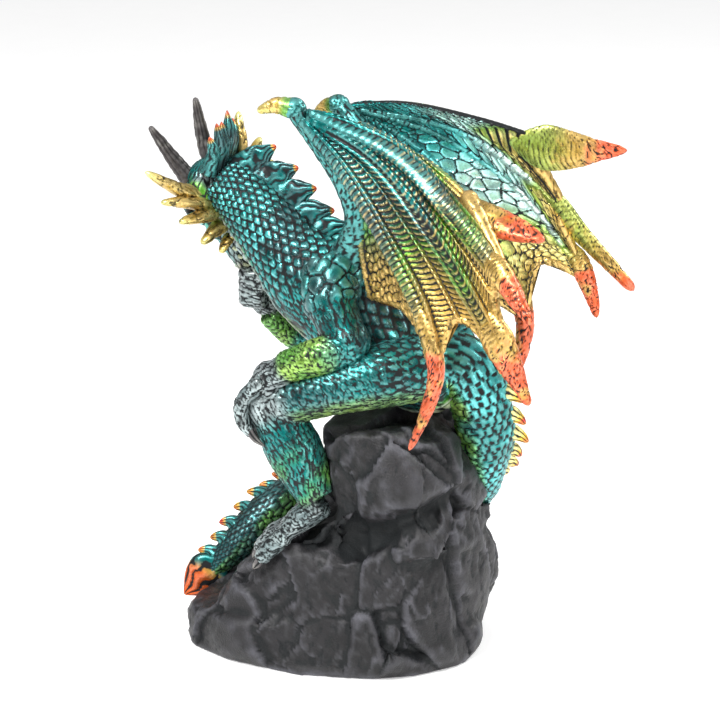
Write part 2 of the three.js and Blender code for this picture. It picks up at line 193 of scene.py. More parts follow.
@dataclass(frozen=True)
class Limb:
    """A bar bent along a curve, thick and thin by its radii.

    Attributes:
        path: control points of its middle line.
        radii: half widths (sideways, the other way) at each control point.
        side: which way "sideways" is. The turn round the bar is a quarter there.
        round_end: share of its length over which the far end closes to a dome.
        round_start: the same for the near end.
    """

    path: tuple[Point, ...]
    radii: tuple[Radii, ...]
    side: Point = (1.0, 0.0, 0.0)
    round_end: float = 0.0
    round_start: float = 0.0

    def frame(self, t: Array) -> tuple[Array, Array, Array, Array]:
        """Finds the directions that the skin is built on.

        Args:
            t: places along the bar, 0 to 1.

        Returns:
            The middle line, then its sideways, other and forward directions.
        """
        spots, forward = along_curve(self.path, t), heading(self.path, t)
        wide = np.tile(np.array(self.side, float), (len(spots), 1))
        wide = unit(wide - (wide * forward).sum(1)[:, None] * forward)
        return spots, wide, np.cross(wide, forward), forward

    def size(self, t: Array) -> Array:
        """Finds the half widths, drawn in where an end is domed.

        Args:
            t: places along the bar, 0 to 1.

        Returns:
            The two half widths at each place.
        """
        sizes = np.maximum(along_curve(self.radii, t), LEAST_RADIUS)
        close = np.ones(len(t))
        if self.round_end:
            close *= np.sqrt(np.clip(1 - np.clip((t - 1) / self.round_end + 1, 0, 1) ** 2, 4e-4, 1))
        if self.round_start:
            close *= np.sqrt(np.clip(1 - np.clip(1 - t / self.round_start, 0, 1) ** 2, 4e-4, 1))
        return sizes * close[:, None]

    def surface(self, t: Array, turn: Array) -> Array:
        """Finds points on the skin.

        Args:
            t: places along the bar, 0 to 1.
            turn: the turn round it, radians.

        Returns:
            One point for each place.
        """
        spots, wide, deep, _ = self.frame(t)
        size = self.size(t)
        out = wide * (np.sin(turn) * size[:, 0])[:, None] + deep * (np.cos(turn) * size[:, 1])[:, None]
        return spots + out

    def length_to(self, t: Array) -> Array:
        """Measures the middle line from its start.

        Args:
            t: places along the bar, 0 to 1.

        Returns:
            The length up to each place, millimetres.
        """
        table = np.linspace(0.0, 1.0, TABLE_STEPS)
        steps = np.linalg.norm(np.diff(along_curve(self.path, table), axis=0), axis=1)
        return np.interp(t, table, np.concatenate([[0.0], np.cumsum(steps)]))

    def rows_to(self, t: Array, share: float) -> Array:
        """Counts rows of scales from the start.

        Args:
            t: places along the bar, 0 to 1.
            share: a row's pitch as a share of the bar's half width there.

        Returns:
            The number of rows, with its fraction, up to each place.
        """
        table = np.linspace(0.0, 1.0, TABLE_STEPS)
        run = self.length_to(table)
        pitch = share * along_curve(self.radii, table).mean(1)
        rows = np.concatenate([[0.0], np.cumsum(np.diff(run) / (0.5 * (pitch[1:] + pitch[:-1])))])
        return np.interp(t, table, rows)


def bar(path: Sequence[Point], radii: Sequence[float | Radii], **extra: object) -> Limb:
    """Makes a Limb from single half widths or pairs of them."""
    pairs = tuple((r, r) if isinstance(r, (int, float)) else r for r in radii)
    return Limb(tuple(path), pairs, **extra)


def mirrored(limb: Limb) -> Limb:
    """Returns a limb's twin on the other side of the figurine."""
    twin = tuple((-x, y, z) for x, y, z in limb.path)
    return Limb(twin, limb.radii, limb.side, limb.round_end, limb.round_start)


def shrunk(limb: Limb, by: float, start: float, end: float) -> Limb:
    """Makes a thinner stretch of a limb, for other limbs to melt into.

    Args:
        limb: the limb to copy.
        by: how much less its half widths are, millimetres.
        start: where the stretch starts, 0 to 1.
        end: where it ends.

    Returns:
        The thinner stretch.
    """
    t = np.linspace(start, end, 9)
    path = tuple(map(tuple, along_curve(limb.path, t).tolist()))
    radii = tuple((a - by, b - by) for a, b in along_curve(limb.radii, t).tolist())
    return Limb(path, radii, limb.side)


Placer = Callable[[Array, Array], Array]


def wrapped_grid(along: int, around: int, place: Placer) -> bmesh.types.BMesh:
    """Bends a flat grid into a closed tube and closes its ends.

    Args:
        along: how many rows of faces lie along it.
        around: how many faces lie round it.
        place: gives points in millimetres for shares (t, turn) from 0 to 1.

    Returns:
        A bmesh in millimetres. Its vertices keep their two shares in layers "t" and "turn".
    """
    bm = bmesh.new()
    layers = [bm.verts.layers.float.new(name) for name in ("t", "turn")]
    bmesh.ops.create_grid(bm, x_segments=along, y_segments=around, size=0.5)
    shares = np.array([v.co[:2] for v in bm.verts]) + 0.5
    points = place(shares[:, 0], shares[:, 1])
    for vert, share, spot in zip(bm.verts, shares.tolist(), points.tolist()):
        vert.co = spot
        vert[layers[0]], vert[layers[1]] = share
    bmesh.ops.remove_doubles(bm, verts=bm.verts, dist=1e-4)
    bmesh.ops.holes_fill(bm, edges=[e for e in bm.edges if e.is_boundary], sides=0)
    bmesh.ops.recalc_face_normals(bm, faces=bm.faces)
    return bm


def limb_mesh(limb: Limb, along: int, around: int) -> bmesh.types.BMesh:
    """Returns a limb's skin as a closed bmesh."""
    return wrapped_grid(along, around, lambda t, turn: limb.surface(t, turn * TURN))


def ball_mesh(centre: Point, radii: Point, fineness: int = 4) -> bmesh.types.BMesh:
    """Makes an egg shape.

    Args:
        centre: its middle, millimetres.
        radii: its half widths along X, Y and Z.
        fineness: how often the faces are divided.

    Returns:
        A closed bmesh.
    """
    bm = bmesh.new()
    bmesh.ops.create_icosphere(bm, subdivisions=fineness, radius=1.0)
    bmesh.ops.scale(bm, vec=Vector(radii), verts=bm.verts)
    bmesh.ops.translate(bm, vec=Vector(centre), verts=bm.verts)
    return bm


# ---------------------------------------------------------------------------- reliefs


@dataclass
class Relief:
    """What is carved and painted at each vertex.

    Attributes:
        height: how far the skin stands out, millimetres.
        face: 1 on a raised, painted face and 0 down in a black groove or in painted shade.
    """

    height: Array
    face: Array

    def mixed(self, other: "Relief", share: Array) -> "Relief":
        """Returns this relief where share is 0 and the other where it is 1."""
        return Relief(blend(self.height, other.height, share), blend(self.face, other.face, share))


def shingles(
    row: Array,
    column: Array,
    lift: float,
    reach: float = 1.85,
    point: float = 1.3,
    stray: float = 0.0,
    shadow: float = 0.26,
) -> Relief:
    """Overlapping pointed scales. They point the way that row grows.

    Args:
        row: row coordinate of each vertex; a scale is one row further on than the last.
        column: the coordinate across; whole numbers are scales' middles in even rows.
        lift: how high a scale's tip stands, millimetres.
        reach: a scale's length, in rows.
        point: 2 gives a round tip, 1 a pointed one.
        stray: how unevenly the scales lie, as a share of their size.
        shadow: how far the dark under each scale's edge reaches, in columns.

    Returns:
        The carved relief.
    """

    def scale(number: Array) -> tuple[Array, Array, Array]:
        shift = 0.5 * np.mod(number, 2.0)
        middle = np.round(column - shift)
        luck = chance(number, middle)
        across = np.abs(column - shift - middle + stray * (luck - 0.5))
        down = (row - number + stray * (chance(middle, number, 3.0) - 0.5)) / reach
        taper = np.clip((down * reach - 0.9) / (reach - 0.9), 0.0, 1.0)
        half = 0.5 * np.clip(1.0 - taper**point, 0.0, 1.0) ** (1.0 / point)
        return down, half - across, luck

    current = np.floor(row)
    down, inside, luck = scale(current)
    down_up, inside_up, luck_up = scale(current - 1.0)
    over = (inside_up > 0.0) & (down_up <= 1.0)
    down = np.where(over, down_up, down)
    luck = np.where(over, luck_up, luck)
    under = np.where(down_up > 1.0, (down_up - 1.0) * reach + np.maximum(-inside_up, 0.0), -inside_up)
    edge = np.where(over, np.minimum(inside_up, (1.0 - down) * reach), np.minimum(np.abs(inside), under))
    crown = step_up(0.0, 0.24, np.abs(edge))
    height = lift * (0.12 + 0.88 * down) * (0.6 + 0.4 * crown) * (1.0 - stray * 0.6 * luck)
    # Painted shadow: dark just under the edge of the scale above, and darker towards each scale's root,
    # where it slips under that edge.
    shade = np.where(over, step_up(0.0, 0.07, edge), step_up(shadow * 0.25, shadow, edge))
    return Relief(height, shade * (0.45 + 0.55 * step_up(0.2, 0.7, down)))


def pebbles(
    across: Array, along: Array, lift: float, gap: float = 0.2, stray: float = 0.75, seed: float = 0.0
) -> Relief:
    """Rounded cobbles packed together, with dark lines between them and painted shade towards each
    cobble's flanks.

    Args:
        across: one coordinate, in cobbles.
        along: the other, in cobbles.
        lift: how high a cobble's middle stands, millimetres.
        gap: width of the dark line, in cobbles.
        stray: 0 for an even lattice, 1 for a random one.
        seed: a number that picks another layout.

    Returns:
        The carved relief.
    """
    x0, y0 = np.floor(across), np.floor(along)
    near = np.full(len(across), 9.0)
    second = near.copy()
    luck = np.zeros(len(across))
    for dx in (-1, 0, 1):
        for dy in (-1, 0, 1):
            cx, cy = x0 + dx, y0 + dy
            odd = 0.5 * np.mod(cy, 2.0)
            px = cx + odd + 0.5 + stray * (chance(cx, cy, seed) - 0.5)
            py = cy + 0.5 + stray * (chance(cy, cx, seed + 5.0) - 0.5)
            away = np.hypot(across - px, along - py)
            closer = away < near
            second = np.where(closer, near, np.minimum(second, away))
            luck = np.where(closer, chance(cx, cy, 9.0 + seed), luck)
            near = np.where(closer, away, near)
    edge = second - near
    dome = np.sqrt(np.clip(1.0 - (np.clip(near, 0.0, 0.8) / 0.8) ** 2, 0.0, 1.0))
    rim = step_up(0.0, gap * 1.5, edge)
    height = lift * rim * (0.3 + 0.9 * dome) * (0.75 + 0.5 * luck)
    # Dark lines between the cobbles, and painted shade that darkens each cobble away from its middle.
    return Relief(height, step_up(0.2 * gap, gap, edge) * (0.7 + 0.3 * dome))


def ripples(phase: Array, lift: float, sharp: float = 1.0) -> Relief:
    """Even ridges, one for each whole number of phase."""
    wave = 0.5 - 0.5 * np.cos(TURN * phase)
    return Relief(lift * wave**sharp, step_up(0.05, 0.55, wave))


def scribble(points: Array, size: float, lift: float, seed: float = 0.0) -> Relief:
    """Wandering dark scratches over a lumpy face.

    Args:
        points: where the vertices are, millimetres.
        size: how far apart the scratches run, millimetres.
        lift: how deep they are, millimetres.
        seed: a number that picks another layout.

    Returns:
        The carved relief.
    """
    veins = np.ones(len(points))
    for layer in (0.0, 1.0):
        bend = np.abs(mottle(points, size * (1.0 - 0.4 * layer), seed + layer) - 0.5)
        veins = np.minimum(veins, step_up(0.0, 0.07, bend))
    lumps = mottle(points, size * 1.4, seed + 3.0)
    return Relief(lift * (veins - 1.0) + lift * lumps, 0.3 + 0.7 * veins)


def smooth_skin(count: int) -> Relief:
    """No carving: a plain painted face."""
    return Relief(np.zeros(count), np.ones(count))


# ---------------------------------------------------------------------------- paints


class Pigment(Enum):
    """The paints on the figurine, as linear colours."""

    BASE_BLACK = (0.006, 0.008, 0.009)
    DEEP_TEAL = (0.0, 0.05, 0.057)
    TEAL = (0.0, 0.19, 0.18)
    SKY = (0.07, 0.50, 0.50)
    # A pale cyan-white that paints the light caught by the wings' inner faces.
    LIT_PALE = (0.5, 0.85, 0.78)
    MOSS = (0.015, 0.10, 0.02)
    LEAF = (0.08, 0.27, 0.015)
    LIME = (0.34, 0.52, 0.08)
    OLIVE = (0.16, 0.15, 0.02)
    GOLD = (0.50, 0.31, 0.055)
    STRAW = (0.85, 0.68, 0.22)
    ORANGE = (0.66, 0.085, 0.012)
    YELLOW = (0.95, 0.55, 0.02)
    STEEL = (0.27, 0.33, 0.33)
    CREAM = (0.45, 0.50, 0.32)
    HORN = (0.035, 0.028, 0.028)
    BONE = (0.25, 0.24, 0.22)
    SLATE = (0.015, 0.014, 0.016)
    COAL = (0.008, 0.0075, 0.0085)
    ASH = (0.10, 0.10, 0.118)

    @property
    def rgb(self) -> Array:
        """Returns the colour as a row of three numbers."""
        return np.array(self.value)


def fade(stops: Sequence[tuple[float, Pigment]], values: Array) -> Array:
    """Runs through pigments as values rise.

    Args:
        stops: where each pigment is pure, in rising order.
        values: one number a vertex.

    Returns:
        One colour a vertex.
    """
    places = [place for place, _ in stops]
    colours = np.array([pigment.rgb for _, pigment in stops])
    return np.stack([np.interp(values, places, colours[:, k]) for k in range(3)], axis=1)


@dataclass
class Coat:
    """Paint at each vertex: its colour, and how metallic it is."""

    colour: Array
    metal: Array

    def over(self, pigment: Pigment | Array, share: Array, metal: float | None = None) -> "Coat":
        """Brushes a pigment over this coat.

        Args:
            pigment: a pigment, or colours for the vertices.
            share: how much of it shows at each vertex, 0 to 1.
            metal: how metallic it is; None leaves that as it was.

        Returns:
            The new coat.
        """
        colour = pigment.rgb if isinstance(pigment, Pigment) else pigment
        metal = self.metal if metal is None else blend(self.metal, np.full(len(share), metal), share)
        return Coat(blend(self.colour, np.broadcast_to(colour, self.colour.shape), share), metal)


def plain_coat(count: int, pigment: Pigment, metal: float = 0.75) -> Coat:
    """Returns one pigment all over."""
    return Coat(np.tile(pigment.rgb, (count, 1)), np.full(count, metal))


# ---------------------------------------------------------------------------- skins


class Skin:
    """A finished or growing mesh with the numbers that its carving and paint need."""

    def __init__(self, name: str, source: bmesh.types.BMesh) -> None:
        """Writes the source into a mesh and frees it.

        Args:
            name: the piece's name.
            source: a closed bmesh in millimetres, with or without "t" and "turn" layers.
        """
        self.mesh = bpy.data.meshes.new(name)
        source.to_mesh(self.mesh)
        source.free()
        self.count = len(self.mesh.vertices)
        self.points = self._read("position", 3)
        self.t = self._read("t")
        self.turn = self._read("turn")

    def _read(self, name: str, width: int = 1) -> Array:
        """Reads one of the mesh's point attributes.

        Args:
            name: the attribute's name.
            width: how many numbers a vertex has.

        Returns:
            The values, or zeros where the attribute is missing.
        """
        values = np.zeros(self.count * width, np.float32)
        if name in self.mesh.attributes:
            key = "vector" if width == 3 else "value"
            self.mesh.attributes[name].data.foreach_get(key, values)
        return values.reshape(-1, width).astype(float) if width > 1 else values.astype(float)

    def normals(self) -> Array:
        """Finds the way out of the skin.

        Returns:
            A direction of length one for each vertex.
        """
        self._write_points()
        values = np.zeros(self.count * 3, np.float32)
        self.mesh.vertex_normals.foreach_get("vector", values)
        return values.reshape(-1, 3).astype(float)

    def _write_points(self, scale: float = 1.0) -> None:
        """Puts the points into the mesh.

        Args:
            scale: the mesh's units in a millimetre.
        """
        flat = (self.points * scale).astype(np.float32).ravel()
        self.mesh.attributes["position"].data.foreach_set("vector", flat)
        self.mesh.update()

    def relax(self, rounds: int) -> None:
        """Smooths the surface by moving each vertex to the mean of its neighbours."""
        for _ in range(rounds):
            self.points = self.averaged(self.points)

    def averaged(self, values: Array) -> Array:
        """Averages over each vertex's neighbours.

        Args:
            values: one row of numbers a vertex.

        Returns:
            The means, one row a vertex.
        """
        edges = np.zeros(len(self.mesh.edges) * 2, np.int32)
        self.mesh.edges.foreach_get("vertices", edges)
        a, b = edges[0::2], edges[1::2]
        count = np.bincount(a, minlength=self.count) + np.bincount(b, minlength=self.count)
        total = [
            np.bincount(a, weights=values[b, k], minlength=self.count)
            + np.bincount(b, weights=values[a, k], minlength=self.count)
            for k in range(values.shape[1])
        ]
        return np.stack(total, axis=1) / np.maximum(count, 1)[:, None]

    def hollowness(self, rounds: int) -> Array:
        """Tells hollows from proud edges.

        Args:
            rounds: how widely the surroundings are smoothed.

        Returns:
            How far each vertex lies below its surroundings, millimetres.
        """
        smooth = self.points
        for _ in range(rounds):
            smooth = self.averaged(smooth)
        return ((smooth - self.points) * self.normals()).sum(1)

    def carve(self, relief: Relief) -> None:
        """Moves each vertex out by the relief's height."""
        self.points = self.points + self.normals() * relief.height[:, None]

    def paint(self, coat: Coat, face: Array) -> None:
        """Stores what the material reads.

        Args:
            coat: the colours and the metal mask.
            face: 1 on painted faces and 0 in black grooves, dark wash and painted shade.
        """
        for name, values in (("face", face), ("metal", coat.metal)):
            layer = self.mesh.attributes.new(name, "FLOAT", "POINT")
            layer.data.foreach_set("value", np.clip(values, 0, 1).astype(np.float32))
        colours = np.concatenate([np.clip(coat.colour, 0, 1), np.ones((self.count, 1))], axis=1)
        layer = self.mesh.attributes.new("paint", "FLOAT_COLOR", "POINT")
        layer.data.foreach_set("color", colours.astype(np.float32).ravel())

    def finish(self, material: bpy.types.Material) -> bpy.types.Object:
        """Turns the skin into a smooth-shaded object in metres.

        Args:
            material: its only material.

        Returns:
            The object, in the scene.
        """
        self._write_points(MM)
        self.mesh.materials.append(material)
        self.mesh.polygons.foreach_set("use_smooth", np.ones(len(self.mesh.polygons), bool))
        self.mesh.update()
        piece = bpy.data.objects.new(self.mesh.name, self.mesh)
        bpy.context.scene.collection.objects.link(piece)
        return piece


def gathered(shells: Sequence[bmesh.types.BMesh]) -> bmesh.types.BMesh:
    """Puts several closed shells into one bmesh.

    Args:
        shells: the shells. They are freed.

    Returns:
        The bmesh that holds them all.
    """
    whole = bmesh.new()
    for name in ("t", "turn", "part"):
        whole.verts.layers.float.new(name)
    for shell in shells:
        carrier = bpy.data.meshes.new("carrier")
        shell.to_mesh(carrier)
        shell.free()
        whole.from_mesh(carrier)
        bpy.data.meshes.remove(carrier)
    return whole


def fused(shells: Sequence[bmesh.types.BMesh], voxel: float) -> bmesh.types.BMesh:
    """Melts overlapping shells into one skin.

    Args:
        shells: closed bmeshes in millimetres. They are freed.
        voxel: the skin's grain, millimetres.

    Returns:
        One closed bmesh in millimetres.
    """
    whole = gathered(shells)
    mesh = bpy.data.meshes.new("lump")
    whole.to_mesh(mesh)
    whole.free()
    lump = bpy.data.objects.new("lump", mesh)
    bpy.context.scene.collection.objects.link(lump)
    remesh = lump.modifiers.new("melt", "REMESH")
    remesh.mode = "VOXEL"
    remesh.voxel_size = voxel
    remesh.use_smooth_shade = True
    melted = lump.evaluated_get(bpy.context.evaluated_depsgraph_get())
    result = bmesh.new()
    result.from_mesh(melted.to_mesh())
    melted.to_mesh_clear()
    bpy.data.objects.remove(lump)
    bpy.data.meshes.remove(mesh)
    return result


@dataclass
class Guide:
    """Tells which limb each vertex of a melted skin belongs to, and where on it.

    Attributes:
        limbs: the limbs, numbered from 0.
        part: the limb's number at each vertex.
        t: the place along it.
        turn: the turn round it, radians.
    """

    limbs: Sequence[Limb]
    part: Array = field(init=False)
    t: Array = field(init=False)
    turn: Array = field(init=False)

    def follow(self, points: Array, along: int = 28, around: int = 20) -> None:
        """Finds each point's nearest limb and its place there.

        Args:
            points: the points, millimetres.
            along: faces along each stand-in for a limb.
            around: faces round it.
        """
        shells = []
        for number, limb in enumerate(self.limbs):
            shell = limb_mesh(limb, along, around)
            bmesh.ops.triangulate(shell, faces=shell.faces)
            layer = shell.verts.layers.float.new("part")
            for vert in shell.verts:
                vert[layer] = number
            shells.append(shell)
        whole = gathered(shells)
        whole.faces.ensure_lookup_table()
        tree = BVHTree.FromBMesh(whole)
        names = [whole.verts.layers.float[name] for name in ("t", "turn", "part")]
        known = np.array([[v[layer] for layer in names] for v in whole.verts])
        spots = np.array([v.co[:] for v in whole.verts])
        corners = np.array([[v.index for v in f.verts] for f in whole.faces])
        hits = [tree.find_nearest(p) for p in points.tolist()]
        whole.free()
        place = np.array([hit[0][:] for hit in hits])
        corner = corners[[hit[2] for hit in hits]]
        a, b, c = (spots[corner[:, k]] for k in range(3))
        area = np.linalg.norm(np.cross(b - a, c - a), axis=1) + 1e-12
        share_b = np.linalg.norm(np.cross(place - a, c - a), axis=1) / area
        share_c = np.linalg.norm(np.cross(b - a, place - a), axis=1) / area
        shares = np.stack([1 - share_b - share_c, share_b, share_c], axis=1)
        turns = known[corner, 1]
        turns = turns - np.round(turns - turns[:, :1])
        self.t = (known[corner, 0] * shares).sum(1)
        self.turn = (turns * shares).sum(1) * TURN
        self.part = known[corner[:, 0], 2]


# ---------------------------------------------------------------------------- finishes


class Bench:
    """Adds nodes to one node tree and joins them up."""

    def __init__(self, tree: bpy.types.NodeTree) -> None:
        """Keeps the tree that is worked on."""
        self.tree = tree

    def add(
        self, kind: str, inputs: dict[str | int, object] | None = None, **settings: object
    ) -> bpy.types.Node:
        """Adds one node.

        Args:
            kind: the node's type.
            inputs: for each input, a value or the output that feeds it.
            settings: the node's own properties.

        Returns:
            The new node.
        """
        node = self.tree.nodes.new(kind)
        for key, value in settings.items():
            setattr(node, key, value)
        for key, value in (inputs or {}).items():
            if isinstance(value, bpy.types.NodeSocket):
                self.tree.links.new(value, node.inputs[key])
            else:
                node.inputs[key].default_value = value
        return node

    def span(
        self, value: bpy.types.NodeSocket, low: float, high: float, first: object, last: object
    ) -> bpy.types.NodeSocket:
        """Maps a range of values onto another.

        Args:
            value: the output to map.
            low: the value that becomes first.
            high: the value that becomes last.
            first: a number, or the output that gives it.
            last: a number, or the output that gives it.

        Returns:
            The output with the mapped value.
        """
        inputs = {"Value": value, "From Min": low, "From Max": high, "To Min": first, "To Max": last}
        return self.add("ShaderNodeMapRange", inputs).outputs[0]

    def sum(self, kind: str, first: object, second: object) -> bpy.types.NodeSocket:
        """Does one sum, such as MULTIPLY, and returns the output."""
        return self.add("ShaderNodeMath", {0: first, 1: second}, operation=kind).outputs[0]


class Patina:
    """The shared effect of hand-brushed paint: patchy colour, dark wash and painted shade in grooves and
    hollows, fine grain.
    """

    NAME = "brushed patina"
    INPUTS = (
        ("Paint", "NodeSocketColor"),
        ("Face", "NodeSocketFloat"),
        ("Metal", "NodeSocketFloat"),
        ("Spot", "NodeSocketVector"),
        ("Patchiness", "NodeSocketFloat"),
        ("Smoothest", "NodeSocketFloat"),
        ("Roughest", "NodeSocketFloat"),
    )
    OUTPUTS = (
        ("Colour", "NodeSocketColor"),
        ("Roughness", "NodeSocketFloat"),
        ("Metallic", "NodeSocketFloat"),
        ("Grain", "NodeSocketFloat"),
    )

    def group(self) -> bpy.types.NodeTree:
        """Finds the node group, or builds it the first time it is asked for.

        Returns:
            The node group.
        """
        if self.NAME in bpy.data.node_groups:
            return bpy.data.node_groups[self.NAME]
        tree = bpy.data.node_groups.new(self.NAME, "ShaderNodeTree")
        for name, kind in self.INPUTS:
            tree.interface.new_socket(name, in_out="INPUT", socket_type=kind)
        for name, kind in self.OUTPUTS:
            tree.interface.new_socket(name, in_out="OUTPUT", socket_type=kind)
        self._wire(Bench(tree))
        return tree

    def _wire(self, bench: Bench) -> None:
        """Fills the group with its nodes.

        Args:
            bench: the bench that holds the group's tree.
        """
        given = bench.add("NodeGroupInput").outputs
        noise = "ShaderNodeTexNoise"
        patches = bench.add(noise, {"Vector": given["Spot"], "Scale": 230.0, "Detail": 4.0})
        flakes = bench.add(noise, {"Vector": given["Spot"], "Scale": 1700.0, "Detail": 3.0})
        grit = bench.add(noise, {"Vector": given["Spot"], "Scale": 5200.0, "Detail": 2.0})
        darkest = bench.sum("SUBTRACT", 1.0, given["Patchiness"])
        lightest = bench.sum("ADD", 1.0, given["Patchiness"])
        tone = bench.span(patches.outputs["Fac"], 0.3, 0.7, darkest, lightest)
        fleck = bench.span(flakes.outputs["Fac"], 0.3, 0.7, 0.86, 1.14)
        value = bench.sum("MULTIPLY", tone, fleck)
        toned = bench.add("ShaderNodeHueSaturation", {"Value": value, "Color": given["Paint"]})
        ragged = bench.span(flakes.outputs["Fac"], 0.3, 0.7, -0.13, 0.13)
        # Where Face is low the paint goes to black: black grooves, dark wash and painted shade alike.
        kept = bench.span(bench.sum("ADD", given["Face"], ragged), 0.2, 0.72, 0.0, 1.0)
        colour = bench.add(
            "ShaderNodeMix",
            {0: kept, 6: (*Pigment.BASE_BLACK.value, 1.0), 7: toned.outputs["Color"]},
            data_type="RGBA",
        )
        gloss = bench.span(
            patches.outputs["Fac"], 0.3, 0.7, given["Smoothest"], given["Roughest"]
        )
        dull = bench.span(kept, 0.0, 1.0, 0.22, 0.0)
        coarse = bench.sum("MULTIPLY", grit.outputs["Fac"], 0.4)
        bench.add(
            "NodeGroupOutput",
            {
                "Colour": colour.outputs[2],
                "Roughness": bench.sum("ADD", gloss, dull),
                "Metallic": bench.sum("MULTIPLY", given["Metal"], kept),
                "Grain": bench.sum("ADD", flakes.outputs["Fac"], coarse),
            },
        )


@dataclass(frozen=True)
class CastFinish:
    """A painted casting: it reads the paint, face and metal that its mesh carries.

    Attributes:
        name: the material's name.
        gloss: roughness where smoothest and where roughest.
        patchiness: how much the paint's lightness strays.
        grain: height of the fine grain, millimetres.
        lacquer: weight of the clear coat over it.
        lacquer_roughness: how matt that coat is.
        sparkle: specular level where the paint isn't metallic.
    """

    name: str
    gloss: tuple[float, float] = (0.24, 0.42)
    patchiness: float = 0.14
    grain: float = 0.05
    lacquer: float = 0.12
    lacquer_roughness: float = 0.2
    sparkle: float = 0.25

    def material(self) -> bpy.types.Material:
        """Finds the material, or builds it the first time it is asked for.

        Returns:
            The material.
        """
        if self.name in bpy.data.materials:
            return bpy.data.materials[self.name]
        material = bpy.data.materials.new(self.name)
        material.use_nodes = True
        material.node_tree.nodes.clear()
        bench = Bench(material.node_tree)
        paint = bench.add("ShaderNodeAttribute", attribute_name="paint")
        face = bench.add("ShaderNodeAttribute", attribute_name="face")
        metal = bench.add("ShaderNodeAttribute", attribute_name="metal")
        spot = bench.add("ShaderNodeTexCoord")
        patina = bench.add("ShaderNodeGroup", node_tree=Patina().group())
        feeds = {
            "Paint": paint.outputs["Color"],
            "Face": face.outputs["Fac"],
            "Metal": metal.outputs["Fac"],
            "Spot": spot.outputs["Object"],
        }
        for key, output in feeds.items():
            bench.tree.links.new(output, patina.inputs[key])
        patina.inputs["Patchiness"].default_value = self.patchiness
        patina.inputs["Smoothest"].default_value = self.gloss[0]
        patina.inputs["Roughest"].default_value = self.gloss[1]
        bump = bench.add(
            "ShaderNodeBump",
            {"Strength": 1.0, "Distance": self.grain * MM, "Height": patina.outputs["Grain"]},
        )
        shader = bench.add(
            "ShaderNodeBsdfPrincipled",
            {
                "Base Color": patina.outputs["Colour"],
                "Roughness": patina.outputs["Roughness"],
                "Metallic": patina.outputs["Metallic"],
                "Normal": bump.outputs["Normal"],
                "Coat Weight": self.lacquer,
                "Coat Roughness": self.lacquer_roughness,
                "Specular IOR Level": self.sparkle,
            },
        )
        bench.add("ShaderNodeOutputMaterial", {"Surface": shader.outputs["BSDF"]})
        return material


class Finish(Enum):
    """The figurine's finishes."""

    PEARL = CastFinish("pearl paint", (0.2, 0.4), 0.3)
    HORN = CastFinish("horn paint", (0.34, 0.55), 0.2, 0.06, 0.1, 0.25)
    EYE = CastFinish("glazed eye", (0.05, 0.08), 0.08, 0.004, 1.0, 0.03, 0.5)
    STONE = CastFinish("stone paint", (0.36, 0.62), 0.3, 0.2, 0.06, 0.3, 0.4)


def dressed(
    skin: Skin, coat: Coat, relief: Relief, finish: Finish, wash_and_shade: float = 1.0, glint: float = 0.62
) -> bpy.types.Object:
    """Carves a skin, lays its paint on with a dark wash that also paints the shade in the hollows and
    dry-brushed tips that also paint highlights on the proud edges, and finishes it.

    Args:
        skin: the mesh. Its relief isn't carved yet.
        coat: the paint before the wash.
        relief: the carving.
        finish: the finish to give it.
        wash_and_shade: how black the hollows go, both as dark paint and as painted shade.
        glint: how much lighter the proud edges go, both as dry-brushing and as painted highlight.

    Returns:
        The finished piece, which isn't on a body yet.
    """
    skin.carve(relief)
    hollow = skin.hollowness(EDGE_ROUNDS)
    # Dark wash in the hollows, which also paints the shade that falls there.
    face = relief.face * (1.0 - wash_and_shade * 0.95 * step_up(-0.01, 0.11, hollow))
    # Dry-brushed proud edges, which also paint highlights where the edges catch the light.
    tips = glint * step_up(0.03, 0.18, -hollow)
    pale = np.clip(coat.colour * 1.5 + 0.16, 0.0, 1.0)
    skin.paint(coat.over(pale, tips), face)
    return skin.finish(finish.value.material())


# ---------------------------------------------------------------------------- torso and neck


